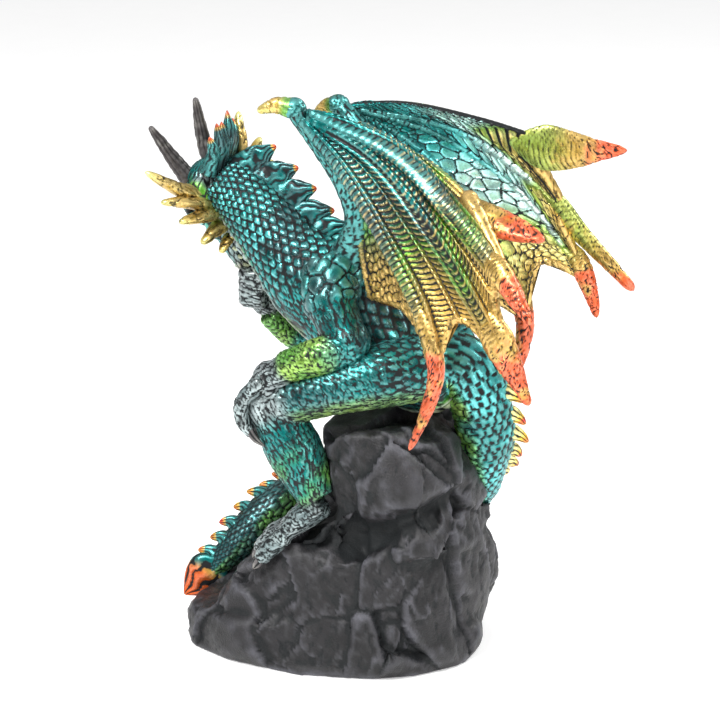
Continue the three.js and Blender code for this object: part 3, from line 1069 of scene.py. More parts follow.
@dataclass
class Torso:
    """Rump, belly, chest and neck: one long form covered in overlapping scales."""

    limb: Limb = Limb(
        path=(
            (0, 40, 88), (0, 29, 87.5), (0, 17.5, 95), (0, 6, 103.2), (0, -6.2, 111),
            (0, -14.8, 118.8), (0, -22.4, 127), (-0.5, -29.8, 133.8), (-1, -37, 138.5),
        ),
        radii=(
            (9, 9), (16, 14), (15.5, 15), (16.2, 16.4), (15, 14.8),
            (12, 12), (10.3, 10.4), (8.8, 9), (7.6, 7.6),
        ),
        round_start=0.06,
    )
    along: int = 270
    around: int = 180
    scales_round: int = 26
    pitch: float = 0.215
    plume: float = 3.0
    plumes_round: int = 72
    plate: float = 3.1

    def build(self) -> bpy.types.Object:
        """Builds rump, belly, chest and neck.

        Returns:
            The dressed piece.
        """
        skin = Skin("torso", limb_mesh(self.limb, self.along, self.around))
        turn = np.minimum(skin.turn, 1.0 - skin.turn) * 2.0
        rows = -self.limb.rows_to(skin.t, self.pitch)
        scales = shingles(rows, skin.turn * self.scales_round, 1.3, stray=0.32, shadow=0.44)
        down = self.limb.length_to(skin.t)
        sway = 3.0 * (mottle(skin.points, 7.0, 1.0) - 0.5)
        columns = skin.turn * self.plumes_round + 2.0 * sway
        plumes = shingles(-down / self.plume + sway, columns, 0.6, stray=0.9, shadow=0.45)
        plates = ripples(down / self.plate + 0.12 * np.cos(skin.turn * TURN * 2), 0.45, 0.6)
        chest = step_up(0.6, 0.46, skin.t) * step_up(0.68, 0.5, turn)
        throat = step_up(0.2, 0.14, turn)
        relief = scales.mixed(plumes, chest).mixed(plates, throat)
        patch = layered(skin.points, 9.0, 3, 2.0)
        coat = plain_coat(skin.count, Pigment.TEAL)
        coat = coat.over(Pigment.DEEP_TEAL, 0.85 * step_up(0.35, 0.62, patch))
        bright = step_up(0.42, 0.62, skin.t) * step_up(0.25, 0.45, turn) * step_up(0.9, 0.62, turn)
        luck = step_up(0.35, 0.6, mottle(skin.points, 2.4, 7.0))
        coat = coat.over(Pigment.SKY, 0.75 * bright * luck * step_up(0.45, 0.8, relief.face))
        coat = coat.over(Pigment.LEAF, step_up(0.3, 0.2, turn) * step_up(0.4, 0.65, patch) * 0.9)
        coat = coat.over(Pigment.CREAM, throat, 0.35)
        seam = np.exp(-(((turn - 0.2) / 0.012) ** 2))
        relief = Relief(relief.height + 0.5 * seam, np.maximum(relief.face, seam))
        coat = coat.over(Pigment.BONE, 0.8 * seam, 0.3)
        return dressed(skin, coat, relief, Finish.PEARL)

    def back_at(self, t: float) -> tuple[Vector, Vector, Vector]:
        """Finds a spot on the back for a fin.

        Args:
            t: the place along the torso, 0 to 1.

        Returns:
            The spot, the way out of the back and the way on towards the head.
        """
        spots, _, deep, forward = self.limb.frame(np.array([t]))
        reach = self.limb.size(np.array([t]))[0, 1]
        return Vector(spots[0] - deep[0] * reach), Vector(-deep[0]), Vector(forward[0])


@dataclass
class NeckCrest:
    """The row of fluted fins along the neck, and the tuft between the horns."""

    torso: Torso
    fins: tuple[tuple[float, float, float], ...] = (
        (0.5, 9.0, 5.4), (0.586, 10.5, 6.8), (0.672, 11.5, 7.9), (0.758, 12.0, 8.8),
        (0.844, 12.0, 9.6), (0.93, 11.0, 10.4),
    )
    thickness: float = 3.0
    sunk: float = 2.6
    lobes: int = 7

    def _fin(self, t: float, length: float, height: float) -> bmesh.types.BMesh:
        """Makes one fin: a long front edge, a steep rear edge and a point that leans back.

        Args:
            t: its place along the torso.
            length: how long its foot is, millimetres.
            height: how far it stands out of the back, millimetres.

        Returns:
            Its skin.
        """
        foot, out, on = self.torso.back_at(t)
        foot = foot - out * self.sunk
        top = height + self.sunk
        path = [
            foot,
            foot + out * (top * 0.5) - on * (length * 0.06),
            foot + out * (top * 0.8) - on * (length * 0.18),
            foot + out * top * 1.04 - on * length * 0.32,
        ]
        thick = self.thickness
        radii = [(thick, length * 0.62), (thick * 0.5, length * 0.4), (0.7, length * 0.17), (0.35, 0.5)]
        fin = bar([tuple(p) for p in path], radii, round_end=0.05)
        return limb_mesh(fin, 44, 44)

    def _lobe(self, number: int) -> bmesh.types.BMesh:
        """Makes one lobe of the tuft.

        Args:
            number: the lobe's number, from 0.

        Returns:
            Its skin.
        """
        share = number / (self.lobes - 1) * 2.0 - 1.0
        foot, out, on = self.torso.back_at(1.0)
        side = Vector((1, 0, 0))
        foot = foot - out * (4.5 + 1.8 * share * share) + on * 4.0 + side * share * 6.4
        tall = 14.5 - 3.6 * abs(share) + 1.6 * (number % 2)
        middle = foot + (out + on * 0.25) * (tall * 0.55)
        path = [foot, middle, foot + (out * 0.96 + on * 0.45) * tall + side * share * 2.4]
        radii = [(2.9, 2.6), (2.1, 1.9), (0.4, 0.35)]
        return limb_mesh(bar([tuple(p) for p in path], radii, round_end=0.1), 30, 24)

    def build(self) -> bpy.types.Object:
        """Builds the fins and the tuft.

        Returns:
            The dressed piece.
        """
        shells = [self._fin(*fin) for fin in self.fins]
        shells += [self._lobe(number) for number in range(self.lobes)]
        skin = Skin("neck_crest", gathered(shells))
        relief = ripples(skin.turn * 8 + 1.6 * mottle(skin.points, 2.4), 0.42, 0.5)
        relief.height = relief.height * step_up(1.0, 0.75, skin.t)
        coat = plain_coat(skin.count, Pigment.TEAL)
        coat = coat.over(Pigment.DEEP_TEAL, 0.8 * step_up(0.35, 0.65, layered(skin.points, 4.0, 2)))
        coat = coat.over(Pigment.GOLD, step_up(0.84, 0.88, skin.t), 0.6)
        coat = coat.over(Pigment.ORANGE, step_up(0.89, 0.94, skin.t), 0.4)
        return dressed(skin, coat, relief, Finish.PEARL)


# ---------------------------------------------------------------------------- tail


@dataclass
class Tail:
    """The tail: scaled, ridged with spikes, and ended by a fluted leaf."""

    path: tuple[Point, ...] = (
        (0, 33, 88), (-0.5, 39.5, 87.5), (-1, 43.5, 82), (-3, 45.2, 73.5), (-6, 45, 65),
        (-11, 42.5, 56), (-18, 38.5, 47.5), (-28, 31.5, 42), (-36, 20, 39), (-39, 6, 37.5),
        (-36, -8, 37.5), (-25, -15.5, 38.5), (-13, -18.5, 39.5), (-5, -21.5, 37.5),
        (0, -26.5, 32.5), (4, -31, 26.5), (7.5, -36, 20.5), (9.5, -40.5, 16),
    )
    radii: tuple[float, ...] = (
        9.6, 9, 8.3, 7.9, 7.5, 7, 6.7, 6.4, 6.2, 6, 5.9, 5.8, 5.7, 5.6, 5.3, 4.6, 3.4, 1.6,
    )
    hub: Point = (0.0, 10.0, 0.0)
    along: int = 520
    around: int = 64
    scales_round: int = 18
    spikes: int = 22
    spike: Radii = (6.6, 8.4)
    scale: float = 0.34
    bead: float = 2.1
    leaf_side: Point = (0.2, -0.5, 0.84)

    def frame(self, t: Array) -> tuple[Array, Array, Array, Array]:
        """Finds the directions that the tail is built on.

        Args:
            t: places along the tail, 0 to 1.

        Returns:
            The middle line, then the ways out to the ridge, sideways and forward.
        """
        spots, forward = along_curve(self.path, t), heading(self.path, t)
        out = spots - np.array(self.hub)
        out[:, 2] = 0.0
        out = unit(out)
        out[:, 2] = 0.5
        out = unit(out - (out * forward).sum(1)[:, None] * forward)
        return spots, out, np.cross(forward, out), forward

    def _width(self, t: Array) -> Array:
        """Returns the tail's half width at each t."""
        return along_curve(bar(self.path, self.radii).radii, t)[:, 0]

    def _place(self, t: Array, turn: Array) -> Array:
        """Finds points on the tail's skin.

        Args:
            t: places along the tail, 0 to 1.
            turn: shares of the way round: 0 underneath, a half on the ridge.

        Returns:
            One point for each place.
        """
        spots, out, side, _ = self.frame(t)
        size = np.maximum(self._width(t)[:, None], LEAST_RADIUS)
        angle = (turn - 0.5) * TURN
        ridge = 1.0 + 0.16 * np.exp(-((angle / 0.35) ** 2))
        return spots + (out * (np.cos(angle) * ridge)[:, None] + side * np.sin(angle)[:, None]) * size

    def _spike(self, number: int) -> bmesh.types.BMesh:
        """Makes one flame-shaped spike of the ridge.

        Args:
            number: the spike's number, from 0 at the rump.

        Returns:
            Its skin.
        """
        share = number / (self.spikes - 1)
        t = 0.1 + 0.84 * share
        spots, out, _, forward = self.frame(np.array([t]))
        size = self._width(np.array([t]))[0]
        foot = spots[0] + out[0] * size * 0.9
        tall = (self.spike[0] - 2.0 * share) * (1.0 if number % 2 else 0.86)
        length = self.spike[1] - 2.6 * share
        middle = foot + out[0] * tall * 0.5 + forward[0] * length * 0.1
        path = [foot, middle, foot + out[0] * tall + forward[0] * length * 0.5]
        radii = [(length * 0.5, 2.2), (length * 0.27, 1.3), (0.5, 0.4)]
        spike = bar([tuple(p) for p in path], radii, side=tuple(forward[0]), round_end=0.1)
        return limb_mesh(spike, 22, 28)

    def _leaf(self) -> bmesh.types.BMesh:
        """Makes the leaf at the tail's end.

        Returns:
            Its skin.
        """
        end, before = np.array(self.path[-1], float), np.array(self.path[-2], float)
        way = (end - before) / np.linalg.norm(end - before)
        path = [tuple(end + way * reach) for reach in (-8.0, -3.0, 2.5, 9.0)]
        radii = [(2.2, 2.2), (6.6, 2.6), (5.6, 1.8), (0.5, 0.4)]
        leaf = Limb(tuple(path), tuple(radii), side=self.leaf_side, round_end=0.05)
        return limb_mesh(leaf, 70, 60)

    def build(self) -> bpy.types.Object:
        """Builds the tail without its ridge.

        Returns:
            The dressed piece.
        """
        skin = Skin("tail", wrapped_grid(self.along, self.around, self._place))
        core = bar(self.path, self.radii)
        rows = core.rows_to(skin.t, self.scale)
        turn = np.abs(skin.turn - 0.5) * 2.0
        scales = shingles(rows, skin.turn * self.scales_round, 0.8, stray=0.24, shadow=0.32)
        beads = pebbles(skin.turn * 17, core.length_to(skin.t) / self.bead, 0.6)
        under = step_up(0.5, 0.62, turn)
        relief = scales.mixed(beads, under)
        relief.height = relief.height * np.clip(self._width(skin.t) / 6.0, 0.35, 1.2)
        patch = layered(skin.points, 7.0, 3, 4.0)
        front = step_up(0.55, 0.7, skin.t)
        coat = plain_coat(skin.count, Pigment.TEAL)
        coat = coat.over(Pigment.SKY, 0.65 * step_up(0.35, 0.6, patch) * (1 - front))
        coat = coat.over(Pigment.DEEP_TEAL, 0.8 * front)
        coat = coat.over(Pigment.LEAF, under * step_up(0.25, 0.6, patch))
        coat = coat.over(Pigment.LIME, 0.5 * under * step_up(0.55, 0.75, patch))
        return dressed(skin, coat, relief, Finish.PEARL)

    def build_ridge(self) -> bpy.types.Object:
        """Builds the spikes and the leaf.

        Returns:
            The dressed piece.
        """
        shells = [self._spike(number) for number in range(self.spikes)]
        skin = Skin("tail_spikes", gathered([*shells, self._leaf()]))
        relief = ripples(skin.turn * 8 + 0.8 * mottle(skin.points, 2.5), 0.34)
        relief.height = relief.height * step_up(1.0, 0.75, skin.t)
        front = step_up(12.0, 2.0, skin.points[:, 1])
        warm = step_up(0.12, 0.4, skin.t) * (1 - front) + step_up(0.62, 0.78, skin.t) * front
        coat = plain_coat(skin.count, Pigment.TEAL)
        coat = coat.over(Pigment.STRAW, warm, 0.5)
        coat = coat.over(Pigment.YELLOW, warm * step_up(0.45, 0.7, skin.t), 0.35)
        burnt = warm * step_up(0.6, 0.85, skin.t) * layered(skin.points, 2.5, 2) * 1.6
        coat = coat.over(Pigment.ORANGE, burnt, 0.3)
        leaf = step_up(22.0, 18.5, skin.points[:, 2])
        coat = coat.over(Pigment.GOLD, leaf * step_up(0.2, 0.35, skin.t), 0.5)
        coat = coat.over(Pigment.ORANGE, leaf * step_up(0.3, 0.55, skin.t) * 0.9, 0.4)
        return dressed(skin, coat, relief, Finish.PEARL)


# ---------------------------------------------------------------------------- head


@dataclass
class Head:
    """The head, made facing -Y with its left on +X and then turned into place."""

    place: Point = (-2, -42.5, 139.2)
    scale: float = 1.06
    snout_towards: Point = (-0.35, 0.26, -0.9)
    left: Point = (0.712, -0.503, -0.484)
    skull: tuple[Point, Point] = ((0, -4, 0.5), (7.8, 9.5, 7.2))
    snout: Limb = bar(
        ((0, -4, 0.5), (0, -14, 0.8), (0, -23, 0), (0, -30.5, -0.8)),
        ((7, 6.2), (5.8, 5), (4.9, 3.9), (3.6, 2.6)),
        round_end=0.1,
    )
    jaw: Limb = bar(
        ((0, 0, -4), (0, -12, -6), (0, -21, -5.6), (0, -28, -4.8)),
        ((6.8, 3.4), (5, 2.8), (3.8, 2.2), (2.6, 1.5)),
        round_end=0.12,
    )
    brow: Limb = bar(((4, 3, 5.2), (6.6, -6, 6.4), (5.4, -14, 4.6)), (1.6, 2.1, 0.8), round_end=0.2)
    horn: Limb = bar(((4.2, -1, 3), (5.4, 8, 5.4), (8.2, 21.2, 4.4)), (2.7, 2.0, 0.8), round_end=0.04)
    nose_horn: Limb = bar(
        ((0, -23, 2.6), (0, -24.6, 5.6), (0, -24.5, 8.6)), (1.9, 1.3, 0.35), round_end=0.06
    )
    teeth: int = 5
    tooth: float = 1.7
    fang: float = 2.5
    eye: tuple[Point, float] = ((5.6, -9.4, 3.3), 2.3)
    nostril: tuple[Point, float] = ((2.3, -28.5, 1.5), 1.5)
    frill: tuple[tuple[Point, Point, Point, float], ...] = (
        ((5.0, -3, -1), (11, 3, -1.6), (17, 12, 0.5), 4.0),
        ((5.0, -5, -3), (11.4, -0.6, -4.4), (18.2, 3.2, -3.4), 3.4),
        ((5.0, -8, -4.4), (11.0, -5.6, -6.6), (17.2, -3.4, -7), 3.2),
        ((4.6, -12, -5), (9.6, -11.8, -7.4), (14.4, -12, -8.6), 2.8),
        ((4.2, -16, -6), (7.4, -16.4, -7.8), (10.4, -17.4, -9.0), 2.0),
    )
    voxel: float = 0.36

    def matrix(self) -> Matrix:
        """Works out the head's turn, scale and place in the figurine.

        Returns:
            The matrix that does all three.
        """
        towards = Vector(self.snout_towards).normalized()
        left = Vector(self.left)
        left = (left - towards * left.dot(towards)).normalized()
        crown = towards.cross(left)
        turn = Matrix((left, -towards, crown)).transposed().to_4x4()
        return Matrix.Translation(Vector(self.place)) @ turn @ Matrix.Scale(self.scale, 4)

    def _placed(self, skin: Skin) -> None:
        """Turns a skin made in the head's own frame into place."""
        turn = np.array(self.matrix())
        skin.points = skin.points @ turn[:3, :3].T + turn[:3, 3]

    def build_face(self) -> bpy.types.Object:
        """Builds skull, snout, jaw and brows, melted together.

        Returns:
            The dressed piece.
        """
        shells = [ball_mesh(*self.skull), limb_mesh(self.snout, 40, 40), limb_mesh(self.jaw, 40, 36)]
        for sign in (1, -1):
            x, y, z = self.nostril[0]
            shells.append(ball_mesh((sign * x, y, z), (1.5, 2.2, 1.2)))
            shells.append(ball_mesh((sign * 5.2, -3.0, -2.4), (4.0, 6.0, 4.2)))
            shells.append(ball_mesh((sign * 4.6, -13.5, 0.6), (2.6, 4.6, 2.6)))
        shells += [limb_mesh(limb, 24, 20) for limb in (self.brow, mirrored(self.brow))]
        skin = Skin("head", fused(shells, self.voxel))
        skin.relax(2)
        x, y, z = skin.points.T
        side = np.abs(x)
        socket = np.linalg.norm(skin.points * [0, 1, 1] - [0, self.eye[0][1], self.eye[0][2]], axis=1)
        socket = step_up(3.4, 1.6, socket) * step_up(3.0, 5.0, side)
        nose = np.linalg.norm(np.stack([side - 2.9, y + 29.6, z - 1.7], 1), axis=1)
        skin.points -= skin.normals() * (socket * 1.3 + 0.9 * step_up(1.3, 0.4, nose))[:, None]
        x, y, z = skin.points.T
        angle = np.arctan2(x, z + 1.0) / TURN
        plates = shingles(y / 2.5, angle * 18, 0.5, stray=0.3)
        wrinkles = ripples(y / 1.9 + 0.5 * mottle(skin.points, 3.0), 0.3)
        muzzle = step_up(-13.0, -17.0, y)
        relief = plates.mixed(wrinkles, muzzle * step_up(0.0, 2.0, z) * 0.8)
        mouth = np.abs(z + 3.3 + 0.05 * (y + 28))
        lips = step_up(1.0, 0.25, mouth) * step_up(-6.0, -9.0, y)
        relief.height = relief.height * (1 - step_up(0.1, 0.5, socket)) - 0.5 * lips
        relief.face = relief.face * (1 - 0.8 * lips) * (1 - 0.5 * socket)
        patch = layered(skin.points, 5.0, 3, 6.0)
        low = step_up(-0.5, -3.5, z + 0.05 * y)
        coat = plain_coat(skin.count, Pigment.TEAL)
        coat = coat.over(Pigment.SKY, 0.5 * step_up(0.45, 0.7, patch))
        coat = coat.over(Pigment.STEEL, low * 0.85, 0.35)
        edge = step_up(3.4, 6.0, side) * step_up(-16.0, -6.0, y) * step_up(2.0, -1.0, z)
        coat = coat.over(Pigment.LEAF, edge * step_up(0.35, 0.6, patch), 0.5)
        coat = coat.over(Pigment.GOLD, step_up(-24.0, -30.0, y) * 0.45, 0.5)
        self._placed(skin)
        return dressed(skin, coat, relief, Finish.PEARL)

    def build_horns(self) -> bpy.types.Object:
        """Builds the dark ringed horns, the nose horn and the teeth.

        Returns:
            The dressed piece.
        """
        horns = [limb_mesh(limb, 80, 30) for limb in (self.horn, mirrored(self.horn))]
        horns.append(limb_mesh(self.nose_horn, 60, 30))
        for sign in (1, -1):
            for number in range(self.teeth):
                y, x = -27.5 + 3.1 * number, 2.5 + 0.42 * number
                tall = self.fang if number in (0, 2) else self.tooth
                root, middle = (sign * x, y, -2.3), (sign * (x + 0.25), y - 0.1, -2.9 - tall * 0.5)
                path = (root, middle, (sign * x, y + 0.3, -3.0 - tall))
                horns.append(limb_mesh(bar(path, (0.75, 0.55, 0.12)), 14, 12))
        skin = Skin("horns", gathered(horns))
        teeth = (skin.points[:, 1] < -14.0) & (skin.points[:, 2] < 1.0)
        wide = np.where(teeth, 0.0, 1.0)
        relief = ripples(skin.t * 9 + 0.5 * mottle(skin.points, 4.0), 0.12, 0.7)
        streak = ripples(skin.turn * 8 + 1.6 * mottle(skin.points * [1, 0.4, 1], 2.5), 0.24)
        height = (relief.height + streak.height) * wide * step_up(1.0, 0.8, skin.t)
        relief = Relief(height, 0.55 + 0.45 * streak.face)
        coat = plain_coat(skin.count, Pigment.HORN, 0.2)
        pale = 0.5 * streak.face * step_up(0.4, 0.7, mottle(skin.points, 2.0))
        coat = coat.over(Pigment.BONE, pale, 0.1)
        coat = coat.over(Pigment.CREAM, teeth.astype(float), 0.0)
        self._placed(skin)
        return dressed(skin, coat, relief, Finish.HORN, glint=0.35)

    def build_frill(self) -> bpy.types.Object:
        """Builds the gold spikes behind and under the cheeks.

        Returns:
            The dressed piece.
        """
        shells = []
        for base, middle, tip, radius in self.frill:
            radii = ((radius * 1.25, radius * 0.7), (radius * 0.95, radius * 0.5), (0.9, 0.75))
            spike = bar((base, middle, tip), radii, round_end=0.08, side=(0, 0, 1))
            shells += [limb_mesh(limb, 44, 32) for limb in (spike, mirrored(spike))]
        skin = Skin("cheek_frill", gathered(shells))
        relief = scribble(skin.points * [1, 1, 1.6], 3.4, 0.4, 2.0)
        relief.height = relief.height * step_up(1.0, 0.8, skin.t)
        coat = plain_coat(skin.count, Pigment.GOLD, 0.7)
        coat = coat.over(Pigment.LEAF, 0.7 * step_up(0.4, 0.1, skin.t), 0.6)
        coat = coat.over(Pigment.OLIVE, 0.7 * layered(skin.points, 4.0, 2), 0.6)
        coat = coat.over(Pigment.STRAW, step_up(0.7, 0.95, skin.t) * 0.7, 0.6)
        self._placed(skin)
        return dressed(skin, coat, relief, Finish.PEARL, wash_and_shade=0.8)

    def build_eyes(self) -> bpy.types.Object:
        """Builds the two glazed eyes with upright slits.

        Returns:
            The dressed piece.
        """
        centre, radius = self.eye
        shells = []
        for sign in (1, -1):
            spot = (sign * centre[0], centre[1], centre[2])
            shells.append(ball_mesh(spot, (radius, radius, radius)))
        skin = Skin("eyes", gathered(shells))
        local = skin.points.copy()
        local[:, 0] = np.abs(local[:, 0])
        local = (local - centre) / radius
        gaze = unit(np.array([0.86, -0.5, 0.12]))
        facing = local @ gaze
        across = local @ unit(np.cross(gaze, [0, 0, 1.0]))
        coat = plain_coat(skin.count, Pigment.BASE_BLACK, 0.0)
        coat = coat.over(Pigment.YELLOW, step_up(0.45, 0.6, facing), 0.2)
        coat = coat.over(Pigment.ORANGE, step_up(0.62, 0.5, facing) * step_up(0.45, 0.5, facing), 0.2)
        slit = step_up(0.2, 0.1, np.abs(across)) * step_up(0.6, 0.7, facing)
        coat = coat.over(Pigment.BASE_BLACK, slit, 0.0)
        relief = smooth_skin(skin.count)
        self._placed(skin)
        return dressed(skin, coat, relief, Finish.EYE, wash_and_shade=0.0, glint=0.0)


# ---------------------------------------------------------------------------- limbs


class Zone(Enum):
    """How a stretch of arm or leg is carved and painted."""

    SHOULDER = 0
    FOREARM = 1
    HAND = 2
    THIGH = 3
    SHIN = 4
    FOOT = 5
    TRUNK = 6


@dataclass
class Limbs:
    """Arms or legs: bars melted together, then carved zone by zone."""

    name: str
    bars: list[tuple[Zone, Limb]]
    lumps: list[tuple[Point, Point]]
    voxel: float
    skin_rounds: int = 3
    paint_rounds: int = 6

    def build(self) -> bpy.types.Object:
        """Melts, carves and paints the limbs.

        Returns:
            The dressed piece.
        """
        shells = [limb_mesh(limb, 40, 36) for _, limb in self.bars]
        shells += [ball_mesh(centre, radii) for centre, radii in self.lumps]
        skin = Skin(self.name, fused(shells, self.voxel))
        skin.relax(self.skin_rounds)
        guide = Guide([limb for _, limb in self.bars])
        guide.follow(skin.points)
        part = guide.part.astype(int)
        zones = np.array([zone.value for zone, _ in self.bars])[part]
        run = np.zeros(skin.count)
        girth = np.zeros(skin.count)
        for number, (_, limb) in enumerate(self.bars):
            mine = part == number
            run[mine] = limb.length_to(guide.t[mine])
            girth[mine] = TURN * along_curve(limb.radii, guide.t[mine]).mean(1)
        relief, coat = smooth_skin(skin.count), plain_coat(skin.count, Pigment.TEAL)
        for zone in Zone:
            mine = (zones == zone.value).astype(float)
            if mine.any():
                other, paint = self._zone(zone, skin, guide, run, girth)
                relief = relief.mixed(other, mine)
                coat = Coat(blend(coat.colour, paint.colour, mine), blend(coat.metal, paint.metal, mine))
        smooth = coat.colour
        for _ in range(self.paint_rounds):
            smooth = skin.averaged(smooth)
        return dressed(skin, Coat(smooth, coat.metal), relief, Finish.PEARL)

    def _zone(
        self, zone: Zone, skin: Skin, guide: Guide, run: Array, girth: Array
    ) -> tuple[Relief, Coat]:
        """Carves and paints the whole skin as one zone.

        Args:
            zone: which zone.
            skin: the melted skin.
            guide: where each vertex lies on its bar.
            run: millimetres along the bar.
            girth: the bar's girth in millimetres.

        Returns:
            The zone's relief and paint, for every vertex.
        """
        turn = guide.turn / TURN
        patch = layered(skin.points, 6.0, 3, 3.0)
        curl = 1.1 * (mottle(skin.points, 3.0, 5.0) - 0.5)
        whorl = ripples(1.35 * layered(skin.points, 4.2, 2, 8.0) * 6.0, 0.42, 0.8)
        wide = np.round(girth / 2.6)
        coat = plain_coat(skin.count, Pigment.TEAL)
        if zone in (Zone.HAND, Zone.FOOT):
            sway = 2.2 * (mottle(skin.points, 3.0, 2.0) - 0.5)
            columns = turn * np.round(girth / 1.15) + sway
            streaks = shingles(run / 2.6 + sway, columns, 0.6, stray=0.9, shadow=0.5)
            coat = plain_coat(skin.count, Pigment.STEEL, 0.45)
            coat = coat.over(Pigment.DEEP_TEAL, 0.55 * step_up(0.45, 0.7, patch), 0.5)
            coat = coat.over(Pigment.ASH, 0.5 * step_up(0.5, 0.3, patch), 0.3)
            return Relief(streaks.height, 0.15 + 0.85 * streaks.face), coat
        if zone is Zone.FOREARM:
            beads = pebbles(turn * np.round(girth / 1.7), run / 1.7, 0.5)
            green = step_up(5.0, 11.0, run + 8.0 * (patch - 0.5))
            coat = coat.over(Pigment.LEAF, green * 0.95, 0.55)
            coat = coat.over(Pigment.LIME, 0.7 * green * step_up(0.45, 0.65, patch), 0.5)
            return beads.mixed(whorl, np.full(skin.count, WHORL_SHARE)), coat
        if zone is Zone.SHIN:
            plumes = shingles(run / 2.6, turn * np.round(girth / 1.3) + curl, 0.5, stray=0.8)
            low = step_up(8.0, 24.0, run)
            coat = coat.over(Pigment.LEAF, step_up(0.35, 0.6, patch) * low, 0.5)
            coat = coat.over(Pigment.STEEL, step_up(4.0, 0.0, run), 0.45)
            return plumes, coat
        if zone is Zone.THIGH:
            beads = pebbles(turn * wide, run / 1.9, 0.5)
            fringe = shingles(run / 3.2, turn * np.round(girth / 1.25) + curl, 0.75, stray=0.8)
            feathers = shingles(run / 2.3, turn * np.round(girth / 2.6), 0.85, stray=0.7, shadow=0.42)
            down = skin.normals()[:, 2]
            below = step_up(-0.25, -0.7, down)
            hip = step_up(20.0, 8.0, run)
            relief = beads.mixed(whorl, np.full(skin.count, WHORL_SHARE))
            relief = relief.mixed(feathers, hip).mixed(fringe, below)
            coat = coat.over(Pigment.DEEP_TEAL, 0.8 * step_up(0.35, 0.65, patch))
            coat = coat.over(Pigment.LIME, below * step_up(0.3, 0.6, relief.face) * 0.9, 0.4)
            coat = coat.over(Pigment.STEEL, step_up(37.0, 43.0, run), 0.45)
            return relief, coat
        plumes = shingles(run / 3.0, turn * np.round(girth / 1.5) + curl, 0.55, stray=0.85)
        cobbles = pebbles(turn * np.round(girth / 4.4), run / 4.6, 0.95, gap=0.12, seed=6.0)
        coat = coat.over(Pigment.DEEP_TEAL, 0.8 * step_up(0.38, 0.65, patch))
        return plumes.mixed(cobbles, step_up(14.0, 11.0, run) * (zone is Zone.SHOULDER)), coat


@dataclass
class Arms:
    """The left hand hangs over its knee; the right arm props the chin on its fist."""

    torso: Torso
    left_upper: Limb = bar(((13, 4, 117), (20, 7, 108), (24, 14.5, 97)), (8.5, 7.2, 5.6))
    left_fore: Limb = bar(((24, 15, 97), (28, 6, 94.5), (29, -5, 90.5)), (5.4, 5.4, 4.4))
    right_upper: Limb = bar(((-13, 2, 115), (-20, -3, 101), (-21, -13, 86)), (8, 6.6, 5.2))
    right_fore: Limb = bar(((-21, -14, 84.5), (-18.5, -22, 90), (-13, -27.5, 97)), (5, 5.4, 4.6))
    left_wrist: Limb = bar(((29, -4, 90.5), (29, -10, 86), (28.6, -14, 82)), (4.2, 4.4, 3.4))
    right_wrist: Limb = bar(((-13, -27, 97.5), (-12, -29, 103), (-11.5, -29.5, 110)), (4.6, 5.4, 4.0))
    elbow: tuple[Point, Point] = ((24, 13.6, 98.4), (6.2, 6.4, 6.8))
    palm: tuple[Point, Point] = ((29, -10, 86), (4.6, 4.4, 6))
    fist: tuple[Point, Point] = ((-12, -29, 105), (5.8, 5.4, 6.6))
    fingers: int = 4
    finger_pitch: float = 2.7
    voxel: float = 0.53

    def _fingers(self) -> list[Limb]:
        """Lays out the eight fingers, without their nails.

        Returns:
            The hanging and the curled fingers, in turn.
        """
        fingers = []
        for i in range(self.fingers):
            x, z = 25.2 + self.finger_pitch * i, 101 + self.finger_pitch * i
            hanging = ((x, -10, 87), (x + 0.5, -16, 82 - i * 0.5), (x, -16.2, 74), (x - 0.6, -13.4, 70))
            fingers.append(bar(hanging, (2.1, 2.1, 1.8, 1.2), round_end=0.08))
            curled = ((-6.5, -26.5, z), (-7, -33, z), (-13, -34.5, z), (-16, -31, z))
            fingers.append(bar(curled, (1.9, 2.1, 1.9, 1.3), side=(0, 0, 1), round_end=0.1))
        return fingers

    def claws(self) -> list[Limb]:
        """Lays out the nails of the hanging fingers.

        Returns:
            One limb a nail.
        """
        nails = []
        for i in range(self.fingers):
            x = 25.2 + self.finger_pitch * i
            path = ((x - 0.4, -14.2, 71.5), (x - 0.8, -12.4, 69), (x - 1, -10, 67.2))
            nails.append(bar(path, (1.25, 1.0, 0.25), round_end=0.05))
        return nails

    def build(self) -> bpy.types.Object:
        """Builds both arms and hands.

        Returns:
            The dressed piece.
        """
        bars = [
            (Zone.SHOULDER, self.left_upper),
            (Zone.FOREARM, self.left_fore),
            (Zone.SHOULDER, self.right_upper),
            (Zone.FOREARM, self.right_fore),
            (Zone.HAND, self.left_wrist),
            (Zone.HAND, self.right_wrist),
            *((Zone.HAND, finger) for finger in self._fingers()),
            (Zone.TRUNK, shrunk(self.torso.limb, 1.4, 0.3, 0.62)),
        ]
        return Limbs("arms", bars, [self.palm, self.fist, self.elbow], self.voxel).build()


